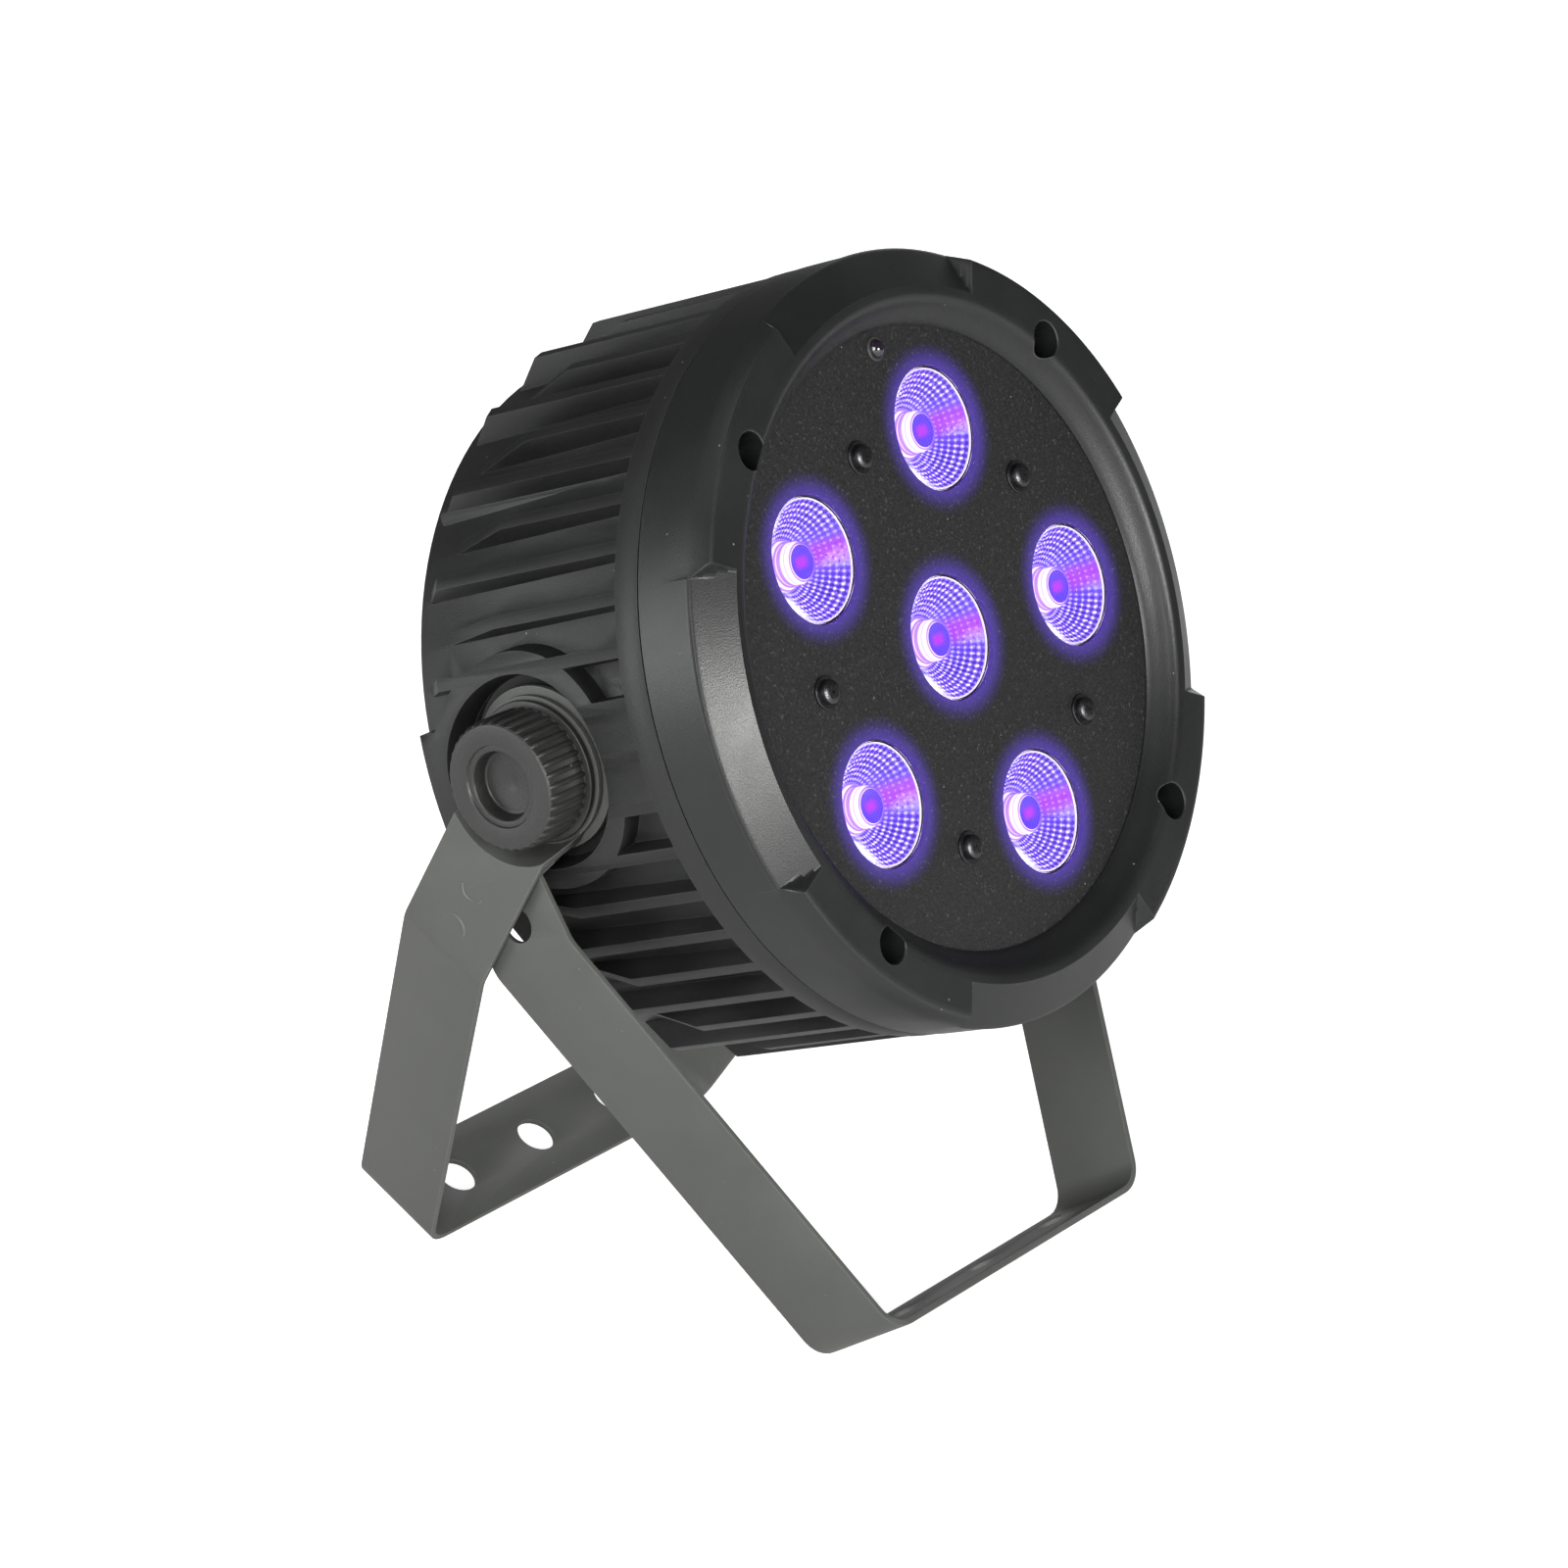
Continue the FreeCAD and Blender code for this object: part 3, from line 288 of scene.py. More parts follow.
def makePlateMaterial():
    # Crinkle-coated plate, with a painted violet glow close to each lens standing in for the lenses' light falling
    # on it.
    material, tree, shader, vector = startMaterial("platePowderCoatPaintedGlow")
    texture = useGroup(tree, surfaceGrain, vector,
                       **{"Grain Size": plateFinishAndPaintedGlow["grain"], "Drift Size": plateFinishAndPaintedGlow["drift"]})
    dusty = useGroup(tree, dustSpecks, vector, Spacing=2.6, Amount=0.6)
    tone = mixColour(tree, texture.outputs["Drift"], plateFinishAndPaintedGlow["dark"], plateFinishAndPaintedGlow["colour"])
    tone = mixColour(tree, times(tree, texture.outputs["Speck"], plateFinishAndPaintedGlow["speck"]), tone,
                     plateFinishAndPaintedGlow["pale"])
    tone = mixColour(tree, dusty.outputs["Mask"], tone, plateFinishAndPaintedGlow["dust"])
    wire(tree, tone, shader.inputs["Base Color"])
    wire(tree, mapRange(tree, texture.outputs["Height"], 0.3, 0.7, 0.42, 0.62), shader.inputs["Roughness"])
    addRelief(tree, shader, texture.outputs["Height"], plateFinishAndPaintedGlow["bump"], relief["coat"])
    # Painted light: violet emission fading out from the edge of each lens, summed over all six.
    local = headLocal(tree, vector)
    paintedGlowAmount = None
    for x, y in lensCentres:
        apart = addNode(tree, "ShaderNodeVectorMath", operation="DISTANCE")
        wire(tree, local, apart.inputs[0])
        apart.inputs[1].default_value = (x * mm, y * mm, face["plate"] * mm)
        past = math2(tree, "SUBTRACT", apart.outputs["Value"], face["lensRadius"] * mm)
        fall = mapRange(tree, past, 0.0, plateFinishAndPaintedGlow["reach"], 1.0, 0.0, smooth=True)
        fall = math2(tree, "POWER", fall, plateFinishAndPaintedGlow["paintedGlowFade"])
        paintedGlowAmount = fall if paintedGlowAmount is None else math2(tree, "ADD", paintedGlowAmount, fall)
    glow = mixColour(tree, times(tree, paintedGlowAmount, 1.0, clamp=True), (0.0, 0.0, 0.0), plateFinishAndPaintedGlow["glow"])
    wire(tree, glow, shader.inputs["Emission Color"])
    shader.inputs["Emission Strength"].default_value = plateFinishAndPaintedGlow["strength"]
    return material


# Painted lens glow, read from each lens's own map: u and v run from 0 to 1 across its face.
paintedLensGlow = {"white": (1.0, 0.93, 1.0), "lilac": (0.50, 0.36, 1.0), "violet": (0.11, 0.05, 0.80),
            "deep": (0.035, 0.012, 0.36), "magenta": (0.42, 0.03, 0.85)}


facets = {"spokes": 26.0, "rings": 46.0, "dots": 95.0, "wallRings": 120.0}
lensBase = (0.05, 0.03, 0.12, 1.0)
# Emission strengths of the painted glow on the optic, well and well wall.
lensPower = {"cup": 1.6, "well": 1.1, "wall": 1.1}


def lensPolar(tree):
    uv = addNode(tree, "ShaderNodeUVMap", uv_map="across")
    split = addNode(tree, "ShaderNodeSeparateXYZ")
    wire(tree, uv.outputs[0], split.inputs[0])
    x = math2(tree, "MULTIPLY_ADD", split.outputs[0], 2.0)
    y = math2(tree, "MULTIPLY_ADD", split.outputs[1], 2.0)
    for socket in (x, y):
        socket.node.inputs[2].default_value = -1.0
    radius = math2(tree, "SQRT", math2(tree, "ADD", times(tree, x, x), times(tree, y, y)))
    return x, y, radius, math2(tree, "ARCTAN2", y, x)


def makeCupMaterial():
    # The inside of the optic, a painted glow standing in for the LED light: a painted white highlight and lilac to
    # the left, deep violet opposite, a lattice of facets all round with painted sparkle, a painted magenta streak
    # and a crescent of painted shade.
    material, tree, shader, vector = startMaterial("lensOpticPaintedGlow")
    x, y, radius, angle = lensPolar(tree)
    turns = times(tree, angle, facets["spokes"])
    rows = times(tree, radius, facets["rings"])
    first = math2(tree, "SINE", math2(tree, "ADD", turns, rows))
    second = math2(tree, "SINE", math2(tree, "SUBTRACT", turns, rows))
    lattice = mapRange(tree, times(tree, first, second), -0.3, 0.95)
    # Painted lit side: lilac to the left fading to violet on the right.
    side = mapRange(tree, x, 0.75, -0.55, smooth=True)
    upDown = math2(tree, "ABSOLUTE", y)
    base = mixColour(tree, side, paintedLensGlow["violet"], paintedLensGlow["lilac"])
    pattern = mixColour(tree, lattice, paintedLensGlow["deep"], paintedLensGlow["lilac"])
    dotted = mixColour(tree, mapRange(tree, upDown, 0.1, 0.5), base, pattern)
    # Painted sparkle: white glints on the facets away from the middle row.
    paintedSparkle = times(tree, mapRange(tree, lattice, 0.72, 1.0), mapRange(tree, upDown, 0.25, 0.6))
    dotted = mixColour(tree, paintedSparkle, dotted, paintedLensGlow["white"])
    # A painted magenta streak of reflection on the right side near the middle.
    paintedStreak = times(tree, mapRange(tree, x, 0.45, 0.62, smooth=True),
                   mapRange(tree, upDown, 0.3, 0.05, smooth=True))
    dotted = mixColour(tree, times(tree, paintedStreak, 0.6), dotted, paintedLensGlow["magenta"])
    # Painted highlight: the left side of the optic turned white-hot.
    wedge = mapRange(tree, math2(tree, "ADD", x, times(tree, upDown, 0.4)), 0.22, -0.16, smooth=True)
    ragged = math2(tree, "ADD", wedge, times(tree, math2(tree, "SUBTRACT", lattice, 0.5), 0.35), clamp=True)
    paintedHotSide = times(tree, ragged, mapRange(tree, radius, 1.02, 0.82))
    colour = mixColour(tree, paintedHotSide, dotted, paintedLensGlow["white"])
    # A crescent of painted shade in deep violet on the left side.
    paintedShadeCrescent = times(tree, mapRange(tree, radius, 0.42, 0.46), mapRange(tree, radius, 0.58, 0.52))
    paintedShadeCrescent = times(tree, paintedShadeCrescent, mapRange(tree, upDown, 0.24, 0.32))
    paintedShadeCrescent = times(tree, paintedShadeCrescent, mapRange(tree, x, -0.1, -0.2))
    colour = mixColour(tree, times(tree, paintedShadeCrescent, 0.85), colour, paintedLensGlow["deep"])
    shader.inputs["Base Color"].default_value = lensBase
    wire(tree, mapRange(tree, lattice, 0.0, 1.0, 0.12, 0.3), shader.inputs["Roughness"])
    wire(tree, colour, shader.inputs["Emission Color"])
    shader.inputs["Emission Strength"].default_value = lensPower["cup"]
    return material


def makeWellMaterial():
    # The well over the emitter, a painted glow: rows of tiny dots on violet, with a painted magenta hot spot at
    # its heart.
    material, tree, shader, vector = startMaterial("lensWell")
    x, y, radius, angle = lensPolar(tree)
    waves = [math2(tree, "SINE", times(tree, socket, facets["dots"])) for socket in (y, x)]
    dots = times(tree, *waves)
    tone = mixColour(tree, mapRange(tree, dots, 0.0, 0.9), (0.10, 0.05, 0.66), (0.035, 0.012, 0.34))
    # Painted hot spot: magenta emission in the middle of the well.
    paintedHotSpot = times(tree, mapRange(tree, math2(tree, "ABSOLUTE", y), 0.14, 0.02, smooth=True),
                  mapRange(tree, math2(tree, "ABSOLUTE", x), 0.22, 0.04, smooth=True))
    wire(tree, mixColour(tree, paintedHotSpot, tone, (0.50, 0.03, 0.72)), shader.inputs["Emission Color"])
    wire(tree, tone, shader.inputs["Base Color"])
    shader.inputs["Roughness"].default_value = 0.15
    shader.inputs["Emission Strength"].default_value = lensPower["well"]
    return material


def makePostMaterial():
    # The wall of the well, a painted glow: rings with a painted bright side, lavender opposite.
    material, tree, shader, vector = startMaterial("lensWellWall")
    x, y, radius, angle = lensPolar(tree)
    rings = mapRange(tree, math2(tree, "SINE", times(tree, radius, facets["wallRings"])), -0.4, 0.6)
    paintedBrightSide = mixColour(tree, rings, (0.42, 0.22, 0.95), paintedLensGlow["white"])
    far = mixColour(tree, rings, (0.16, 0.07, 0.85), (0.36, 0.22, 1.0))
    # Painted highlight: the left side of the wall brighter than the right.
    tone = mixColour(tree, mapRange(tree, x, 0.12, -0.08, smooth=True), far, paintedBrightSide)
    wire(tree, tone, shader.inputs["Emission Color"])
    wire(tree, far, shader.inputs["Base Color"])
    shader.inputs["Roughness"].default_value = 0.2
    shader.inputs["Emission Strength"].default_value = lensPower["wall"]
    return material


def makeClear(name, colour, rough=0.03):
    material, tree, shader, vector = startMaterial(name)
    texture = useGroup(tree, surfaceGrain, vector, **{"Grain Size": 2.0, "Drift Size": 15.0})
    tone = mixColour(tree, texture.outputs["Drift"], shaded(colour, 0.96), colour)
    wire(tree, tone, shader.inputs["Base Color"])
    gloss = mapRange(tree, texture.outputs["Height"], 0.3, 0.7, rough, rough + 0.05)
    wire(tree, gloss, shader.inputs["Roughness"])
    shader.inputs["Transmission Weight"].default_value = 1.0
    shader.inputs["IOR"].default_value = 1.2
    return material


def glossy(name, colour, rough, grain=1.2, emission=None, strength=0.0, clear=0.4):
    material, tree, shader, vector = startMaterial(name)
    texture = useGroup(tree, surfaceGrain, vector, **{"Grain Size": grain, "Drift Size": 14.0})
    tone = mixColour(tree, texture.outputs["Drift"], shaded(colour, 0.8), colour)
    wire(tree, tone, shader.inputs["Base Color"])
    gloss = mapRange(tree, texture.outputs["Height"], 0.3, 0.7, rough - 0.03, rough + 0.06)
    wire(tree, gloss, shader.inputs["Roughness"])
    shader.inputs["Coat Weight"].default_value = clear
    if emission:
        glow = mixColour(tree, texture.outputs["Drift"], shaded(emission, 0.85), emission)
        wire(tree, glow, shader.inputs["Emission Color"])
        shader.inputs["Emission Strength"].default_value = strength
    return material


materials = {
    "housing": coated("housingPlastic", (0.0095, 0.0098, 0.0097), (0.050, 0.051, 0.050), 0.44, 0.42,
                      bump=0.22, dust=0.45, edge=0.5),
    "bezel": coated("bezelPlastic", (0.0085, 0.0090, 0.0092), (0.065, 0.068, 0.068), 0.355, 0.35, bump=0.16,
                    dust=0.4, edge=0.45),
    "panel": coated("rearPanelCoat", (0.022, 0.022, 0.023), (0.09, 0.09, 0.09), 0.5, 0.6, bump=0.3, dust=0.3,
                    edge=0.3),
    "yoke": coated("yokePowderCoat", (0.072, 0.075, 0.070), (0.20, 0.205, 0.195), 0.48, 0.5, drift=60.0,
                   bump=0.2, dust=0.25, edge=0.35),
    "knob": coated("knobNylon", (0.019, 0.0193, 0.0183), (0.10, 0.10, 0.098), 0.42, 0.5, drift=12.0, bump=0.3,
                   dust=0.5, edge=0.3, clear=0.1),
    "holder": coated("lensHolderPlastic", (0.02, 0.02, 0.02), (0.05, 0.05, 0.05), 0.5, 0.5),
    "fibre": coated("frictionFibre", (0.045, 0.043, 0.04), (0.12, 0.12, 0.11), 0.75, 0.8, bump=0.5),
    "key": coated("keyRubber", (0.05, 0.05, 0.055), (0.12, 0.12, 0.12), 0.6, 0.4, bump=0.2),
    "screw": metal("blackZincScrew", (0.09, 0.09, 0.095), 0.34, brush=0.8),
    "nickel": metal("socketNickel", (0.42, 0.42, 0.43), 0.3),
    "aluminium": metal("heatSinkAluminium", (0.72, 0.73, 0.74), 0.38, axis=(1.0, 8.0, 1.0)),
    "brass": metal("turnedBrass", (0.72, 0.50, 0.20), 0.3),
    "board": glossy("circuitLacquer", (0.02, 0.13, 0.05), 0.3),
    "part": glossy("componentCase", (0.05, 0.05, 0.07), 0.35),
    "socket": glossy("socketMoulding", (0.018, 0.018, 0.019), 0.3, clear=0.2),
    "window": glossy("windowSmoke", (0.012, 0.006, 0.008), 0.08, clear=1.0),
    "display": glossy("displayBlock", (0.05, 0.02, 0.02), 0.3),
    "segment": glossy("displaySegment", (0.12, 0.02, 0.02), 0.3, emission=(1.0, 0.08, 0.04), strength=0.5),
    "sensor": glossy("sensorDome", (0.012, 0.006, 0.014), 0.08, clear=1.0),
    "plate": makePlateMaterial(),
    "cup": makeCupMaterial(),
    "well": makeWellMaterial(),
    "post": makePostMaterial(),
    "cover": makeClear("lensCover", (0.97, 0.95, 1.0)),
    # The lens rim carries a painted bright glow; it is no lamp.
    "rim": glossy("lensRimPaintedGlow", (0.6, 0.55, 0.9), 0.1, emission=(0.80, 0.70, 1.0), strength=0.9, clear=0.0),
    "emitter": glossy("emitterDome", (0.6, 0.5, 0.9), 0.2, emission=(0.5, 0.1, 1.0), strength=2.0),
}
print("materials made:", len(materials))


def fromBmesh(name, mesh, smooth=30.0):
    data = bpy.data.meshes.new(name)
    mesh.to_mesh(data)
    mesh.free()
    data.polygons.foreach_set("use_smooth", [True] * len(data.polygons))
    data.set_sharp_from_angle(angle=math.radians(smooth))
    return data


def lathe(profile, segments=96, closed=False):
    # Turns (radius, height) points in millimetres about local Z; a radius of nought makes a pole.
    mesh = bmesh.new()
    rings = []
    for radius, height in profile:
        if radius < 1e-6:
            rings.append([mesh.verts.new((0, 0, height * mm))])
            continue
        rings.append([mesh.verts.new((radius * mm * math.cos(k * math.tau / segments),
                                      radius * mm * math.sin(k * math.tau / segments), height * mm))
                      for k in range(segments)])
    pairs = list(zip(rings, rings[1:])) + ([(rings[-1], rings[0])] if closed else [])
    for low, high in pairs:
        for k in range(segments):
            n = (k + 1) % segments
            corners = [low[k % len(low)], low[n % len(low)], high[n % len(high)], high[k % len(high)]]
            unique = list(dict.fromkeys(corners))
            if len(unique) > 2:
                mesh.faces.new(unique)
    bmesh.ops.recalc_face_normals(mesh, faces=mesh.faces)
    return mesh


def arc(centre, radius, start, end, steps):
    # Points on an arc in the (radius, height) plane, angles in degrees from the radius direction.
    points = []
    for k in range(steps + 1):
        turn = math.radians(start + (end - start) * k / steps)
        points.append((centre[0] + radius * math.cos(turn), centre[1] + radius * math.sin(turn)))
    return points


def addPiece(name, data, body, material, matrix=None, replaces=()):
    if matrix is not None:
        data.transform(matrix)
    data.materials.clear()
    data.materials.append(material)
    piece = bpy.data.objects.new(name, data)
    bpy.context.scene.collection.objects.link(piece)
    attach(piece, body)
    if replaces:
        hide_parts(*replaces)
    return piece


def ringTree():
    # Repeats a template round a circle, each copy turned to face outwards.
    tree = bpy.data.node_groups.new("ringOfCopies", "GeometryNodeTree")
    for label, kind in (("Template", "NodeSocketObject"), ("Radius", "NodeSocketFloat"),
                        ("Count", "NodeSocketInt"),
                        ("Start Angle", "NodeSocketFloat"), ("Height", "NodeSocketFloat"), ("Finish",
                                                                                            "NodeSocketMaterial")):
        tree.interface.new_socket(name=label, in_out="INPUT", socket_type=kind)
    tree.interface.new_socket(name="Geometry", in_out="OUTPUT", socket_type="NodeSocketGeometry")
    given = addNode(tree, "NodeGroupInput")
    result = addNode(tree, "NodeGroupOutput")
    template = addNode(tree, "GeometryNodeObjectInfo", transform_space="ORIGINAL")
    wire(tree, given.outputs["Template"], template.inputs[0])
    points = addNode(tree, "GeometryNodePoints")
    wire(tree, given.outputs["Count"], points.inputs["Count"])
    index = addNode(tree, "GeometryNodeInputIndex")
    step = math2(tree, "DIVIDE", math.tau, given.outputs["Count"])
    angle = math2(tree, "ADD", times(tree, index.outputs[0], step), given.outputs["Start Angle"])
    spot = addNode(tree, "ShaderNodeCombineXYZ")
    wire(tree, times(tree, math2(tree, "COSINE", angle), given.outputs["Radius"]), spot.inputs[0])
    wire(tree, times(tree, math2(tree, "SINE", angle), given.outputs["Radius"]), spot.inputs[1])
    wire(tree, given.outputs["Height"], spot.inputs[2])
    wire(tree, spot.outputs[0], points.inputs["Position"])
    turn = addNode(tree, "ShaderNodeCombineXYZ")
    wire(tree, angle, turn.inputs[2])
    copies = addNode(tree, "GeometryNodeInstanceOnPoints")
    wire(tree, points.outputs[0], copies.inputs["Points"])
    wire(tree, template.outputs["Geometry"], copies.inputs["Instance"])
    wire(tree, turn.outputs[0], copies.inputs["Rotation"])
    real = addNode(tree, "GeometryNodeRealizeInstances")
    finish = addNode(tree, "GeometryNodeSetMaterial")
    wire(tree, copies.outputs[0], real.inputs[0])
    wire(tree, real.outputs[0], finish.inputs["Geometry"])
    wire(tree, given.outputs["Finish"], finish.inputs["Material"])
    wire(tree, finish.outputs[0], result.inputs[0])
    return tree


copiesTree = ringTree()


def ringOf(template, radius, count, start, height, material, smooth=30.0):
    # One plain mesh of count copies of a bmesh template, radius and height in millimetres.
    data = fromBmesh("template", template, smooth)
    shape = bpy.data.objects.new("template", data)
    host = bpy.data.objects.new("ringHost", bpy.data.meshes.new("ringHost"))
    for thing in (shape, host):
        bpy.context.scene.collection.objects.link(thing)
    modifier = host.modifiers.new("copies", "NODES")
    modifier.node_group = copiesTree
    values = {"Template": shape, "Radius": radius * mm, "Count": count, "Start Angle": math.radians(start),
              "Height": height * mm, "Finish": material}
    for item in copiesTree.interface.items_tree:
        if item.in_out == "INPUT":
            modifier[item.identifier] = values[item.name]
    bpy.context.view_layer.update()
    result = bpy.data.meshes.new_from_object(host.evaluated_get(bpy.context.evaluated_depsgraph_get()))
    host.modifiers.remove(modifier)
    for thing in (host, shape):
        bpy.data.objects.remove(thing)
    bpy.data.meshes.remove(data)
    return result


def softCopy(node, body, material, width, angle=32.0):
    # A CAD node with its corners eased: merged, cleared of flat seams and bevelled.
    source = frame["nodes"][node]
    mesh = bmesh.new()
    mesh.from_mesh(source.data)
    bmesh.ops.remove_doubles(mesh, verts=mesh.verts, dist=1e-6)
    bmesh.ops.dissolve_limit(mesh, angle_limit=math.radians(0.6), verts=mesh.verts, edges=mesh.edges)
    data = fromBmesh(node + "Eased", mesh, angle)
    if "custom_normal" in data.attributes:
        data.attributes.remove(data.attributes["custom_normal"])
    piece = addPiece(node + "Eased", data, body, material, replaces=(node,))
    bevel = piece.modifiers.new("easedCorners", "BEVEL")
    bevel.width = width * mm
    bevel.segments = 2
    bevel.limit_method = "ANGLE"
    bevel.angle_limit = math.radians(angle)
    bevel.harden_normals = False
    piece.data = bpy.data.meshes.new_from_object(piece.evaluated_get(bpy.context.evaluated_depsgraph_get()))
    piece.modifiers.clear()
    piece.data.set_sharp_from_angle(angle=math.radians(40.0))
    return piece


view = {"azimuth": -52.6113, "elevation": 19.5761, "roll": -1.1152, "distance": 1.2709899,
        "target": (0.0020470, -0.0026529, -0.0292366), "lens": 119.349765, "sensor": 36.0}


def setCamera():
    azimuth = math.radians(view["azimuth"])
    elevation = math.radians(view["elevation"])
    roll = math.radians(view["roll"])
    level = math.cos(elevation)
    backwards = Vector((math.sin(azimuth) * level, -math.cos(azimuth) * level, math.sin(elevation)))
    right = (-backwards).cross(Vector((0, 0, 1))).normalized()
    up = right.cross(-backwards)
    rolledRight = math.cos(roll) * right + math.sin(roll) * up
    rolledUp = -math.sin(roll) * right + math.cos(roll) * up
    data = bpy.data.cameras.new("viewCamera")
    data.sensor_width = view["sensor"]
    data.lens = view["lens"]
    data.clip_start = 0.05
    camera = bpy.data.objects.new("viewCamera", data)
    bpy.context.scene.collection.objects.link(camera)
    spot = pivot + Vector(view["target"]) + backwards * view["distance"]
    matrix = Matrix((rolledRight, rolledUp, backwards)).transposed().to_4x4()
    matrix.translation = spot
    camera.matrix_world = matrix
    bpy.context.scene.camera = camera


setCamera()
bpy.context.scene.view_settings.view_transform = "Standard"

studio = {"seen": 1.0, "felt": 0.10, "floor": (0.9, 0.9, 0.9), "floorSeen": 0.74, "floorFelt": 0.14,
          "floorHalf": 6.0, "aim": (0, 0, 0.14)}
lights = [
    # name, place, size, power, colour
    ("keyLeft", (-1.55, -0.75, 0.75), (0.9, 1.1), 30.0, (1.0, 1.0, 1.0)),
    ("padFront", (-0.30, -1.90, 0.52), (0.5, 0.5), 32.0, (1.0, 1.0, 0.98)),
    ("rimLeft", (-1.05, 0.85, 0.35), (0.5, 0.8), 6.5, (0.98, 1.0, 1.0)),
    ("rimRight", (1.6, 0.7, 0.8), (0.7, 1.4), 8.0, (0.97, 0.98, 1.0)),
    ("topSoft", (-0.5, 0.6, 1.8), (1.0, 1.0), 3.5, (1.0, 1.0, 1.0)),
]


def setStudio():
    mesh = bmesh.new()
    bmesh.ops.create_grid(mesh, x_segments=1, y_segments=1, size=studio["floorHalf"])
    floor = bpy.data.objects.new("studioFloor", fromBmesh("studioFloor", mesh))
    bpy.context.scene.collection.objects.link(floor)
    material, tree, shader, vector = startMaterial("studioPaper")
    shader.inputs["Base Color"].default_value = (*studio["floor"], 1.0)
    shader.inputs["Roughness"].default_value = 0.9
    shader.inputs["Emission Color"].default_value = (1.0, 1.0, 1.0, 1.0)
    eye = addNode(tree, "ShaderNodeLightPath")
    glow = mapRange(tree, eye.outputs["Is Camera Ray"], 0.0, 1.0, studio["floorFelt"], studio["floorSeen"])
    wire(tree, glow, shader.inputs["Emission Strength"])
    floor.data.materials.append(material)
    world = bpy.data.worlds.new("studioWorld")
    world.use_nodes = True
    sky = world.node_tree
    sky.nodes["Background"].inputs[0].default_value = (1.0, 1.0, 1.0, 1.0)
    eye = addNode(sky, "ShaderNodeLightPath")
    strength = mapRange(sky, eye.outputs["Is Camera Ray"], 0.0, 1.0, studio["felt"], studio["seen"])
    wire(sky, strength, sky.nodes["Background"].inputs[1])
    bpy.context.scene.world = world
    for name, spot, size, power, colour in lights:
        data = bpy.data.lights.new(name, "AREA")
        data.shape = "RECTANGLE"
        data.size, data.size_y = size
        data.energy = power
        data.color = colour
        lamp = bpy.data.objects.new(name, data)
        bpy.context.scene.collection.objects.link(lamp)
        lamp.location = spot
        lamp.rotation_euler = (Vector(studio["aim"]) - Vector(spot)).to_track_quat("-Z", "Y").to_euler()


setStudio()
print("camera and studio set")


plainNodes = {
    "rear_panel": "panel", "face_plate": "plate", "heat_sink": "aluminium", "led_board": "board",
    "driver_board": "board", "control_board": "board", "led_emitters": "emitter",
    "driver_transformer": "part", "driver_capacitors": "part", "driver_fuse": "part",
    "key_switches": "part", "display_module": "display", "face_plate_standoffs": "brass",
    "pivot_insert_left": "brass", "pivot_insert_right": "brass", "friction_washer_left": "fibre",
    "friction_washer_right": "fibre", "knob_bolt_left": "screw", "knob_bolt_right": "screw",
    "driver_board_screws": "screw", "heat_sink_screws": "screw", "signal_in": "nickel",
    "signal_out": "nickel", "power_inlet": "socket", "power_outlet": "socket", "display_window": "window",
}
plainNodes.update({"lens_holder_%d" % number: "holder" for number in range(1, 7)})
for node, finish in plainNodes.items():
    carried = frame["nodes"][node]
    carried.data.materials.clear()
    carried.data.materials.append(materials[finish])

for node, body, finish, width in (("housing", "head", "housing", 0.35),
                                  ("front_yoke", "front_yoke", "yoke", 0.3), ("rear_yoke", "rear_yoke",
                                                                              "yoke", 0.3)):
    softCopy(node, body, materials[finish], width)
print("housing and yokes eased")


atCorners = (4, 45)     # four copies, the first at 45 degrees
betweenLenses = (5, 36)
bezel = {"padHalf": 25.0, "padInner": 82.75, "padSlope": 0.5505, "rampSlope": 0.6, "wellRadius": 4.5,
         "step": 1.0, "fine": 0.12,
         "smooth": 24.0}


def padDrop(radius, angle):
    # How far a pad's chamfer lies below the front plane, with ramps at its two ends.
    apart = abs((angle + 45.0) % 90.0 - 45.0)
    inside = math.radians(bezel["padHalf"] - apart) * radius / bezel["rampSlope"]
    full = max(0.0, (radius - bezel["padInner"]) * bezel["padSlope"])
    return max(0.0, min(full, inside)), full


def bezelColumns():
    angles = []
    for start in range(0, 360, 90):
        local = [-45.0 + bezel["step"] * k for k in range(90)]
        for edge in (-bezel["padHalf"], bezel["padHalf"]):
            inward = -1 if edge > 0 else 1
            local += [edge + inward * bezel["fine"] * k for k in range(-3, 30)]
        angles += [start + angle for angle in sorted(set(round(angle, 3) for angle in local))]
    return angles


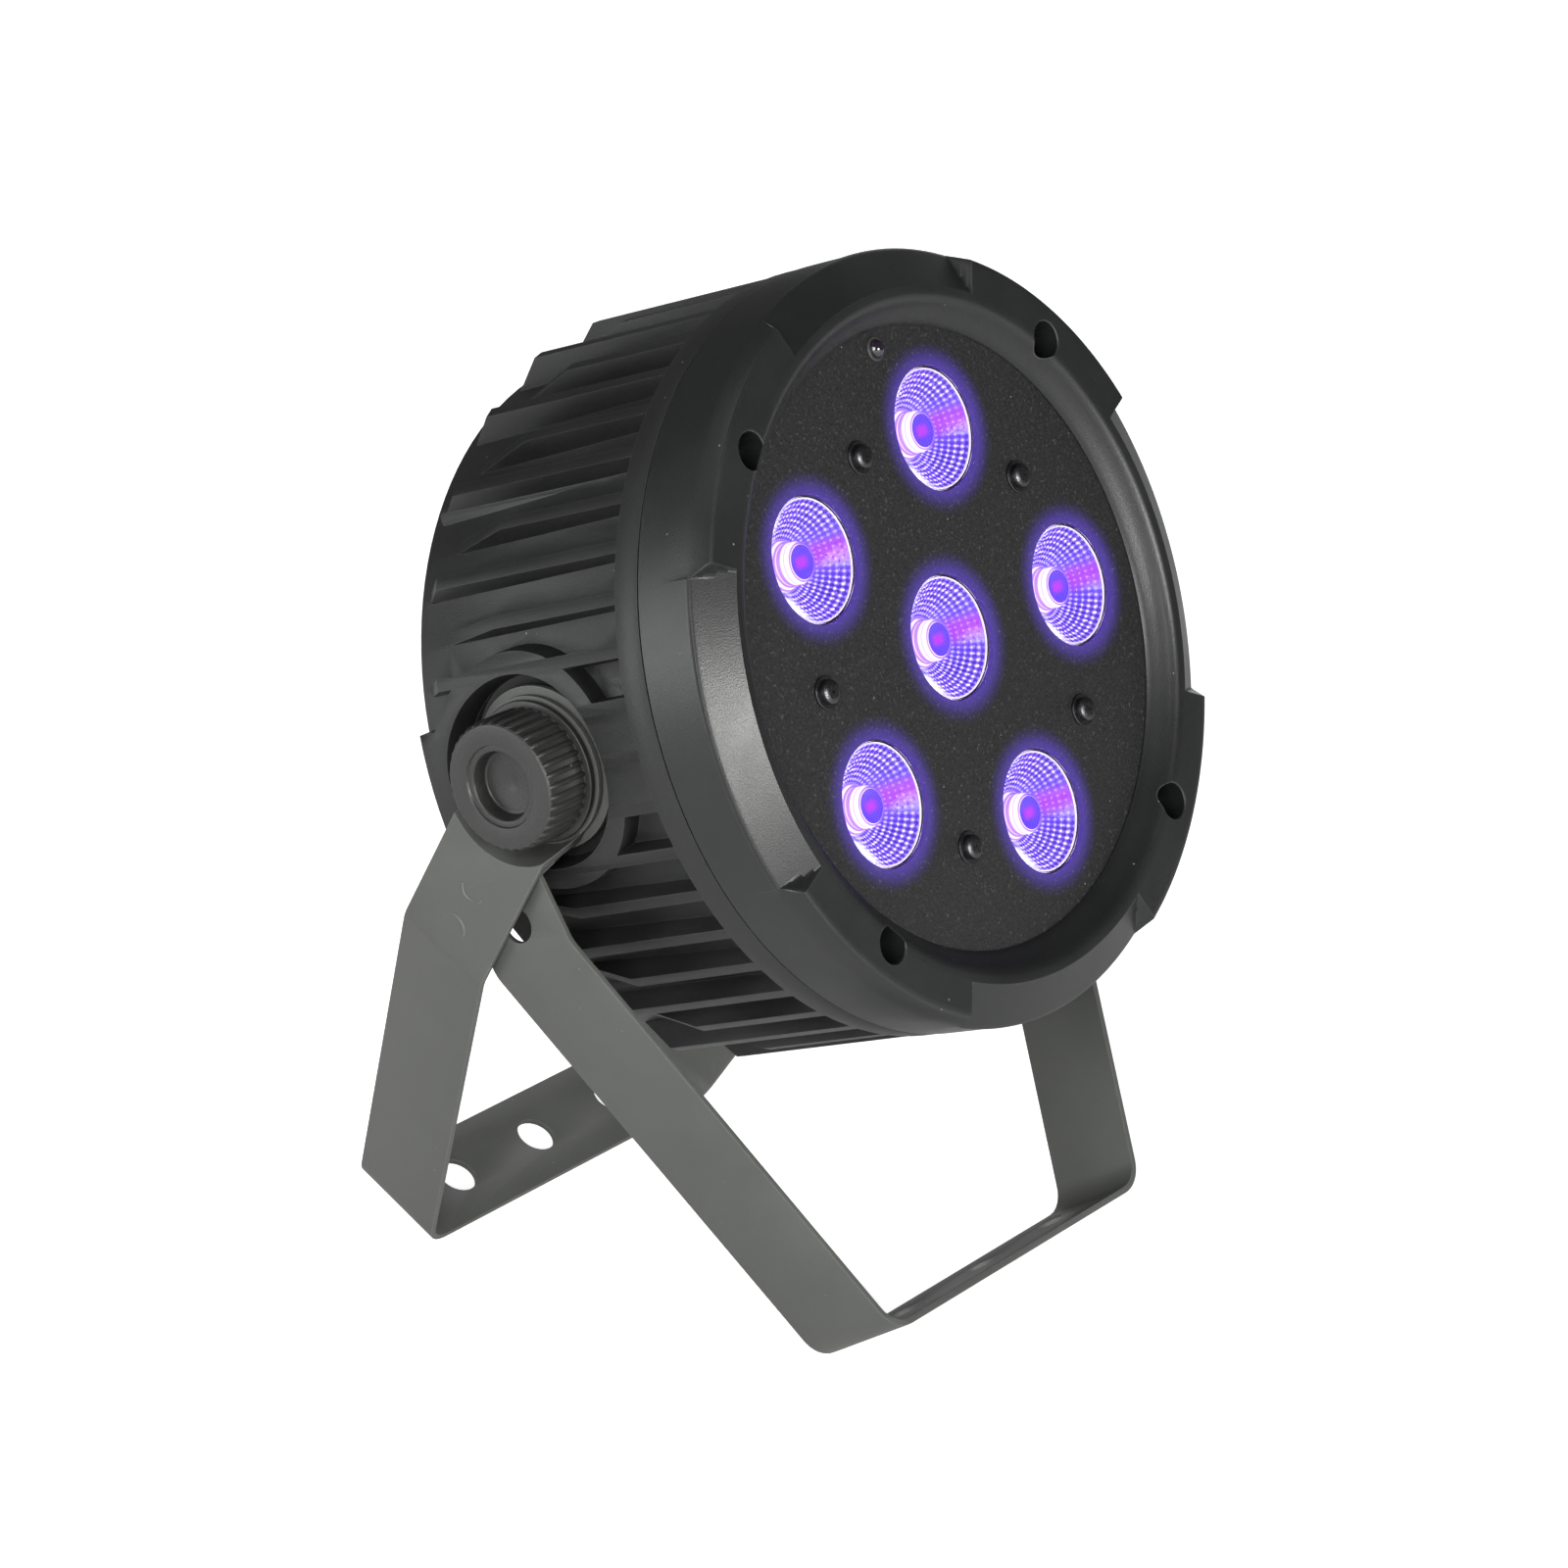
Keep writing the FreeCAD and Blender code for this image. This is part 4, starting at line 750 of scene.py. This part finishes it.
def makeBezel():
    # Turned about the light axis, with the chamfered pads worked into each column.
    lip = [(74.4, 57.0), (74.4, 58.5), (74.7, 59.0), (75.4, 59.7), (76.6, 60.6), (77.8, 61.6), (78.6, 62.5),
           (79.3, 63.3), (80.1, 63.8), (81.0, 64.0), (82.75, 64.0)]
    crown = [((84.5, 64.0), (84.5, 0)), ((87.0, 64.0), (87.0, 0)), ((89.6, 64.0), (89.6, 0)),
             ((90.5, 63.97), (91.2, 0)),
             ((90.95, 63.85), (91.9, 0)), ((91.25, 63.6), (92.3, 0.03)), ((91.42, 63.2), (92.55, 0.15)),
             ((91.75, 61.6), (92.68, 0.5)), ((92.2, 59.8), (92.7, 0.95))]
    wall = [(92.5, 57.4), (92.5, 50.0), (92.45, 43.1), (92.2, 42.75), (91.9, 42.7), (89.6, 42.7),
            (89.6, 57.0)]
    mesh = bmesh.new()
    columns = []
    for angle in bezelColumns():
        cosine, sine = math.cos(math.radians(angle)), math.sin(math.radians(angle))
        points = list(lip)
        for (openRadius, openHeight), (padRadius, tuck) in crown:
            drop, full = padDrop(padRadius, angle)
            share = drop / full if full else 0.0
            radius = openRadius + (padRadius - openRadius) * share
            points.append((radius, openHeight + (face["front"] - full - tuck - openHeight) * share))
        points += wall
        columns.append([mesh.verts.new((radius * cosine * mm, radius * sine * mm, height * mm)) for radius,
                        height in points])
    for one, two in zip(columns, columns[1:] + columns[:1]):
        for k in range(len(one)):
            n = (k + 1) % len(one)
            mesh.faces.new((one[k], two[k], two[n], one[n]))
    bmesh.ops.recalc_face_normals(mesh, faces=mesh.faces)
    piece = addPiece("frontBezel", fromBmesh("frontBezel", mesh, bezel["smooth"]), "head", materials["bezel"],
                     replaces=("front_bezel",))
    bore = bezel["wellRadius"]
    mouth, lining = bore + 0.35, bore + 0.9
    well = lathe([(0.0, 51.9), (bore, 51.9), (bore, 63.75), (mouth, 64.1), (mouth, 66.0), (0.0, 66.0)], 48)
    wells = ringOf(well, face["bezelScrews"], *atCorners, 0.0, materials["bezel"])
    liner = lathe([(0.0, 51.8), (lining, 51.8), (lining, 57.2), (0.0, 57.2)], 48)
    liners = ringOf(liner, face["bezelScrews"], *atCorners, 0.0, materials["bezel"])
    tools = [bpy.data.objects.new(name, data) for name, data in (("liners", liners), ("wells", wells))]
    for tool, operation in zip(tools, ("UNION", "DIFFERENCE")):
        bpy.context.scene.collection.objects.link(tool)
        modifier = piece.modifiers.new(tool.name, "BOOLEAN")
        modifier.operation = operation
        modifier.object = tool
        modifier.solver = "EXACT"
    piece.data = bpy.data.meshes.new_from_object(piece.evaluated_get(bpy.context.evaluated_depsgraph_get()))
    piece.modifiers.clear()
    for tool in tools:
        bpy.data.objects.remove(tool)
    piece.data.transform(headMatrix)
    piece.data.set_sharp_from_angle(angle=math.radians(bezel["smooth"]))


makeBezel()
print("bezel made")


lens = {"radius": 14.9, "cupRadius": 14.1, "cupDepth": 9.5, "postRadius": 5.0, "postTop": -3.6,
        "dimple": 0.42, "rows": 9, "around": 40,
        "cupTop": -0.9, "shoulder": 1.2}


def mapAcross(data):
    # A map that runs from 0 to 1 across the lens, in the head's own frame.
    layer = data.uv_layers.new(name="across")
    for loop in data.loops:
        point = data.vertices[loop.vertex_index].co
        layer.uv[loop.index].vector = (point.x / (2 * lens["radius"] * mm) + 0.5,
                                       point.y / (2 * lens["radius"] * mm) + 0.5)


def dimpleTemplate():
    mesh = bmesh.new()
    bmesh.ops.create_icosphere(mesh, subdivisions=1, radius=lens["dimple"] * mm)
    bmesh.ops.scale(mesh, vec=(0.9, 1.0, 0.55), verts=mesh.verts)
    return mesh


def makeLens(number, centre):
    seat = headMatrix @ Matrix.Translation(Vector((centre[0], centre[1], face["lensFront"])) * mm)
    name = "lens_%d" % number
    cup, post, top, outer = lens["cupRadius"], lens["postRadius"], lens["postTop"], lens["radius"]
    foot = post + lens["shoulder"]
    fall = lens["cupDepth"] + lens["cupTop"]

    def addPart(label, mesh, finish, smooth=30.0, mapped=True, replaces=()):
        data = fromBmesh(name + label, mesh, smooth)
        if mapped:
            mapAcross(data)
        addPiece(name + label, data, "head", materials[finish], seat, replaces=replaces)

    cone = [(cup, lens["cupTop"])] + [(foot + (cup - foot) * (1 - t) ** 0.8, lens["cupTop"] - fall * t)
                                      for t in (0.12, 0.25, 0.4, 0.55, 0.7, 0.85, 1.0)]
    addPart("Optic", lathe(cone, 72), "cup")
    dimples = bmesh.new()
    for row in range(lens["rows"]):
        t = (row + 0.7) / (lens["rows"] + 0.6)
        radius = cup - (cup - foot) * t - 0.1
        depth = lens["cupTop"] - fall * (1 - (1 - t) ** 1.25)
        ring = ringOf(dimpleTemplate(), radius, lens["around"], 180 / lens["around"] * (row % 2), depth,
                      materials["cup"])
        dimples.from_mesh(ring)
        bpy.data.meshes.remove(ring)
    addPart("Facets", dimples, "cup", 60.0)
    wall = [(foot, -lens["cupDepth"]), (post + 0.5, -8.2), (post, -7.6), (post + 0.35, -6.6),
            (post - 0.1, -5.8), (post + 0.1, -4.9), (post - 0.3, top), (post - 0.9, top + 0.15)]
    addPart("WellWall", lathe(wall, 64), "post", 60.0)
    dome = [(post - 0.9, top + 0.15), (post * 0.55, top - 0.15), (post * 0.25, top - 0.3), (0.0, top - 0.35)]
    addPart("Well", lathe(dome, 48), "well", 60.0)
    cover = [(0.0, -0.35), (cup - 0.4, -0.45), (outer - 0.3, -0.6), (outer, -0.5), (outer, -0.15),
             (outer - 0.15, 0.0), (cup - 0.2, 0.0), (0.0, 0.25)]
    addPart("Cover", lathe(cover, 72), "cover", mapped=False, replaces=(name,))
    rim = lathe(arc((cup + 0.25, -0.75), 0.22, 0, 330, 11), 72, closed=True)
    addPart("Rim", rim, "rim", mapped=False)


for number, centre in enumerate(lensCentres, start=1):
    makeLens(number, centre)
print("lenses made")


screwSize = {"head": 3.0, "height": 1.9, "bezelHead": 3.6, "bezelHeight": 2.8, "slot": 0.75, "slotThick": 0.5,
             "slotSink": 0.21, "washer": 4.0, "washerThick": 0.6, "washerHole": 1.6}


def panHead(radius, height):
    # A crowned head with a cross recess sunk into its top.
    mesh = lathe([(0.0, 0.0), (radius * 0.98, 0.0), (radius, 0.15), (radius, height * 0.45),
                  (radius * 0.92, height * 0.74),
                  (radius * 0.72, height * 0.95), (radius * 0.5, height), (0.0, height)], 32)
    for turn in (45, 135):
        arm = bmesh.new()
        bmesh.ops.create_cube(arm, size=1.0)
        bmesh.ops.scale(arm, vec=(radius * 1.15 * mm, screwSize["slot"] * mm, screwSize["slotThick"] * mm),
                        verts=arm.verts)
        bmesh.ops.rotate(arm, matrix=Matrix.Rotation(math.radians(turn), 3, "Z"), verts=arm.verts)
        bmesh.ops.translate(arm, vec=(0, 0, (height - screwSize["slotSink"]) * mm), verts=arm.verts)
        data = bpy.data.meshes.new("arm")
        arm.to_mesh(data)
        arm.free()
        mesh.from_mesh(data)
        bpy.data.meshes.remove(data)
    return mesh


def addScrews(name, node, radius, height, circle, spread, seat, matrix=headMatrix):
    heads = ringOf(panHead(radius, height), circle, *spread, seat, materials["screw"])
    addPiece(name, heads, "head", materials["screw"], matrix, replaces=(node,))


def allScrews():
    head, height, edge, hole = (screwSize[key] for key in ("head", "height", "washer", "washerHole"))
    thick = screwSize["washerThick"]
    addScrews("facePlateScrews", "face_plate_screws", head, height, face["ring"], betweenLenses,
              face["plate"] + thick)
    washer = lathe([(hole, 0.0), (edge - 0.1, 0.0), (edge, 0.15), (edge, 0.45), (edge - 0.15, thick),
                    (hole, thick)], 40,
                   closed=True)
    washers = ringOf(washer, face["ring"], *betweenLenses, face["plate"], materials["screw"])
    addPiece("facePlateWashers", washers, "head", materials["screw"], headMatrix,
             replaces=("face_plate_washers",))
    addScrews("bezelScrews", "bezel_screws", screwSize["bezelHead"], screwSize["bezelHeight"],
              face["bezelScrews"], atCorners, face["bezelSeat"])
    turned = headMatrix @ Matrix.Rotation(math.pi, 4, "X")
    addScrews("rearPanelScrews", "rear_panel_screws", head, height, face["panelScrews"], atCorners,
              -face["back"], turned)


allScrews()


sensor = {"angle": 89.0, "circle": 70.0, "radius": 2.3, "root": -1.4, "crown": 2.1}


def sensorDome():
    angle, size, root = math.radians(sensor["angle"]), sensor["radius"], sensor["root"]
    spot = Vector((sensor["circle"] * math.cos(angle), sensor["circle"] * math.sin(angle),
                   face["plate"])) * mm
    seat = headMatrix @ Matrix.Translation(spot)
    profile = [(0.0, root), (size, root), (size, 0.0)] + arc((0.0, 0.0), size, 8, 90,
                                                             8)[:-1] + [(0.0, sensor["crown"])]
    addPiece("sensorDome", fromBmesh("sensorDome", lathe(profile, 40), 50.0), "head", materials["sensor"],
             seat, replaces=("sensor_dome",))
    collar = lathe([(2.35, 0.0), (3.0, 0.0), (3.0, 0.3), (2.75, 0.5), (2.35, 0.5)], 40, closed=True)
    addPiece("sensorCollar", fromBmesh("sensorCollar", collar), "head", materials["holder"], seat)


sensorDome()
print("screws and sensor made")


knob = {"back": 87.5, "top": 101.5, "radius": 15.0, "skirt": 17.0, "ridges": 36, "ridge": 0.78, "recess": 8.2,
        "recessDepth": 4.5,
        "bore": 4.0}


def ridgeTemplate():
    # One knurl: a half-round bar with a sloped nose, lying along the knob's axis.
    length = knob["top"] - knob["back"] - 1.6
    mesh = bmesh.new()
    stations = [(0.0, 0.75), (0.5, 1.0), (length - 2.4, 1.0), (length - 1.0, 0.8), (length - 0.2, 0.35)]
    rows = []
    for height, scale in stations:
        row = []
        for k in range(7):
            turn = math.radians(-90 + 30 * k)
            row.append(mesh.verts.new((scale * knob["ridge"] * 1.35 * math.cos(turn) * mm - 0.25 * mm,
                                       knob["ridge"] * (0.7 + 0.3 * scale) * math.sin(turn) * mm, height * mm)))
        rows.append(row)
    for low, high in zip(rows, rows[1:]):
        for k in range(6):
            mesh.faces.new((low[k], low[k + 1], high[k + 1], high[k]))
        mesh.faces.new((low[6], low[0], high[0], high[6]))
    mesh.faces.new(rows[0][::-1])
    mesh.faces.new(rows[-1])
    bmesh.ops.recalc_face_normals(mesh, faces=mesh.faces)
    return mesh


def makeKnob(side, sign):
    seat = Matrix.Translation(pivot) @ Matrix.Rotation(sign * math.pi / 2, 4, "Y")
    back, top, grip, skirt = knob["back"], knob["top"], knob["radius"], knob["skirt"]
    well, floor = knob["recess"], top - knob["recessDepth"]
    profile = [(knob["bore"], back), (skirt - 0.5, back)] + arc((skirt - 0.5, back + 0.5), 0.5, -90, 0, 3)
    profile += arc((skirt - 0.35, back + 1.25), 0.35, 0, 90, 3)
    profile += [(grip + 0.3, back + 1.65), (grip, back + 2.1), (grip, top - 1.2)]
    profile += arc((grip - 0.7, top - 0.7), 0.7, 0, 90, 4)
    profile += arc((well + 1.9, top - 0.35), 0.35, 90, 180, 3) + [(well + 1.4, top - 0.62)]
    profile += arc((well + 0.5, top - 1.1), 0.5, 90, 180, 3) + [(well - 0.4, floor + 0.7)]
    profile += arc((well - 1.0, floor + 0.6), 0.6, 0, -90, 3)
    profile += [(2.4, floor + 0.08), (1.6, floor - 0.1), (0.0, floor - 0.35), (0.0, floor - 0.6),
                (knob["bore"], floor - 0.6)]
    name, body = "knobGrip_" + side, "knob_" + side
    addPiece(name, fromBmesh(name, lathe(profile, 144, closed=True), 35.0), body, materials["knob"], seat,
             replaces=(body,))
    ridges = ringOf(ridgeTemplate(), grip - 0.1, knob["ridges"], 0, back + 1.5, materials["knob"], 40.0)
    addPiece("knobRidges_" + side, ridges, body, materials["knob"], seat)


makeKnob("right", 1)
makeKnob("left", -1)
print("knobs made")


rear = {"keyY": 15.0, "keyPitch": 14.0, "windowY": 30.0, "digitPitch": 9.0, "digits": 4, "barLift": 0.12}
backwards = headMatrix @ Matrix.Rotation(math.pi, 4, "Y")


def rearPlace(x, y, depth):
    # A place on the rear, with local Z pointing out of the back.
    return backwards @ Matrix.Translation(Vector((-x, y, -depth)) * mm)


def makeKeys():
    for label, step in (("menu", 1.5), ("down", 0.5), ("up", -0.5), ("enter", -1.5)):
        seat = rearPlace(step * rear["keyPitch"], rear["keyY"], face["back"])
        cap = lathe([(0.0, -2.4), (4.0, -2.4), (4.0, -1.7), (3.0, -1.6), (3.0, 0.7)] + arc((2.5, 0.7), 0.5, 0,
                                                                                           75, 4)
                    + [(1.6, 1.12), (0.9, 1.05), (0.0, 1.0)], 40)
        addPiece("keyCap_" + label, fromBmesh("keyCap_" + label, cap, 35.0), "key_" + label, materials["key"],
                 seat, replaces=("key_" + label,))


def makeDisplay():
    # Four seven-bar digits behind the smoked window.
    bars = [(0, 4.6, 0), (0, 0, 0), (0, -4.6, 0), (2.3, 2.3, 90), (-2.3, 2.3, 90), (2.3, -2.3, 90),
            (-2.3, -2.3, 90)]
    whole = bmesh.new()
    for digit in range(rear["digits"]):
        for x, y, turn in bars:
            bar = bmesh.new()
            corners = [(-1.7, 0), (-1.2, 0.42), (1.2, 0.42), (1.7, 0), (1.2, -0.42), (-1.2, -0.42)]
            bottom = [bar.verts.new((u * mm, v * mm, 0)) for u, v in corners]
            lid = [bar.verts.new((u * 0.95 * mm, v * 0.9 * mm, rear["barLift"] * mm)) for u, v in corners]
            bar.faces.new(lid)
            bar.faces.new(bottom[::-1])
            for k in range(6):
                bar.faces.new((bottom[k], bottom[(k + 1) % 6], lid[(k + 1) % 6], lid[k]))
            bmesh.ops.rotate(bar, matrix=Matrix.Rotation(math.radians(turn), 3, "Z"), verts=bar.verts)
            bmesh.ops.translate(bar, vec=(((digit - (rear["digits"] - 1) / 2) * rear["digitPitch"] + x) * mm,
                                          y * mm, 0.0), verts=bar.verts)
            data = bpy.data.meshes.new("bar")
            bar.to_mesh(data)
            bar.free()
            whole.from_mesh(data)
            bpy.data.meshes.remove(data)
    addPiece("displaySegments", fromBmesh("displaySegments", whole), "head", materials["segment"],
             rearPlace(0, rear["windowY"], face["back"] - 0.02))


makeKeys()
makeDisplay()


mark = {"lean": 30.5257, "heights": (-31.0, -44.0), "centreY": -3.8, "plate": 97.8, "sweep": 80, "steps": 16,
        "section": ((2.9, 0.0), (3.1, 0.22), (3.5, 0.22), (3.7, 0.0))}


def yokeMarks():
    # Two faint pressed arcs on each outer plate of the rear yoke.
    seat = Matrix.Translation(pivot) @ Matrix.Rotation(math.radians(mark["lean"]), 4, "X")
    for side, sign in (("right", 1), ("left", -1)):
        whole = bmesh.new()
        for centreZ, facing in zip(mark["heights"], (-1, 1)):
            rows = []
            for k in range(mark["steps"] + 1):
                turn = math.radians(mark["sweep"] * (2 * k / mark["steps"] - 1))
                row = []
                for across, proud in mark["section"]:
                    y = mark["centreY"] + sign * across * math.sin(turn)
                    z = centreZ + across * math.cos(turn) * facing
                    row.append(whole.verts.new((sign * (mark["plate"] + proud) * mm, y * mm, z * mm)))
                rows.append(row)
            for low, high in zip(rows, rows[1:]):
                for k in range(3):
                    whole.faces.new((low[k], low[k + 1], high[k + 1], high[k]))
                whole.faces.new((low[3], low[0], high[0], high[3]))
            whole.faces.new(rows[0])
            whole.faces.new(rows[-1][::-1])
        bmesh.ops.recalc_face_normals(whole, faces=whole.faces)
        addPiece("yokeMark_" + side, fromBmesh("yokeMark_" + side, whole, 50.0), "rear_yoke",
                 materials["yoke"], seat)


yokeMarks()
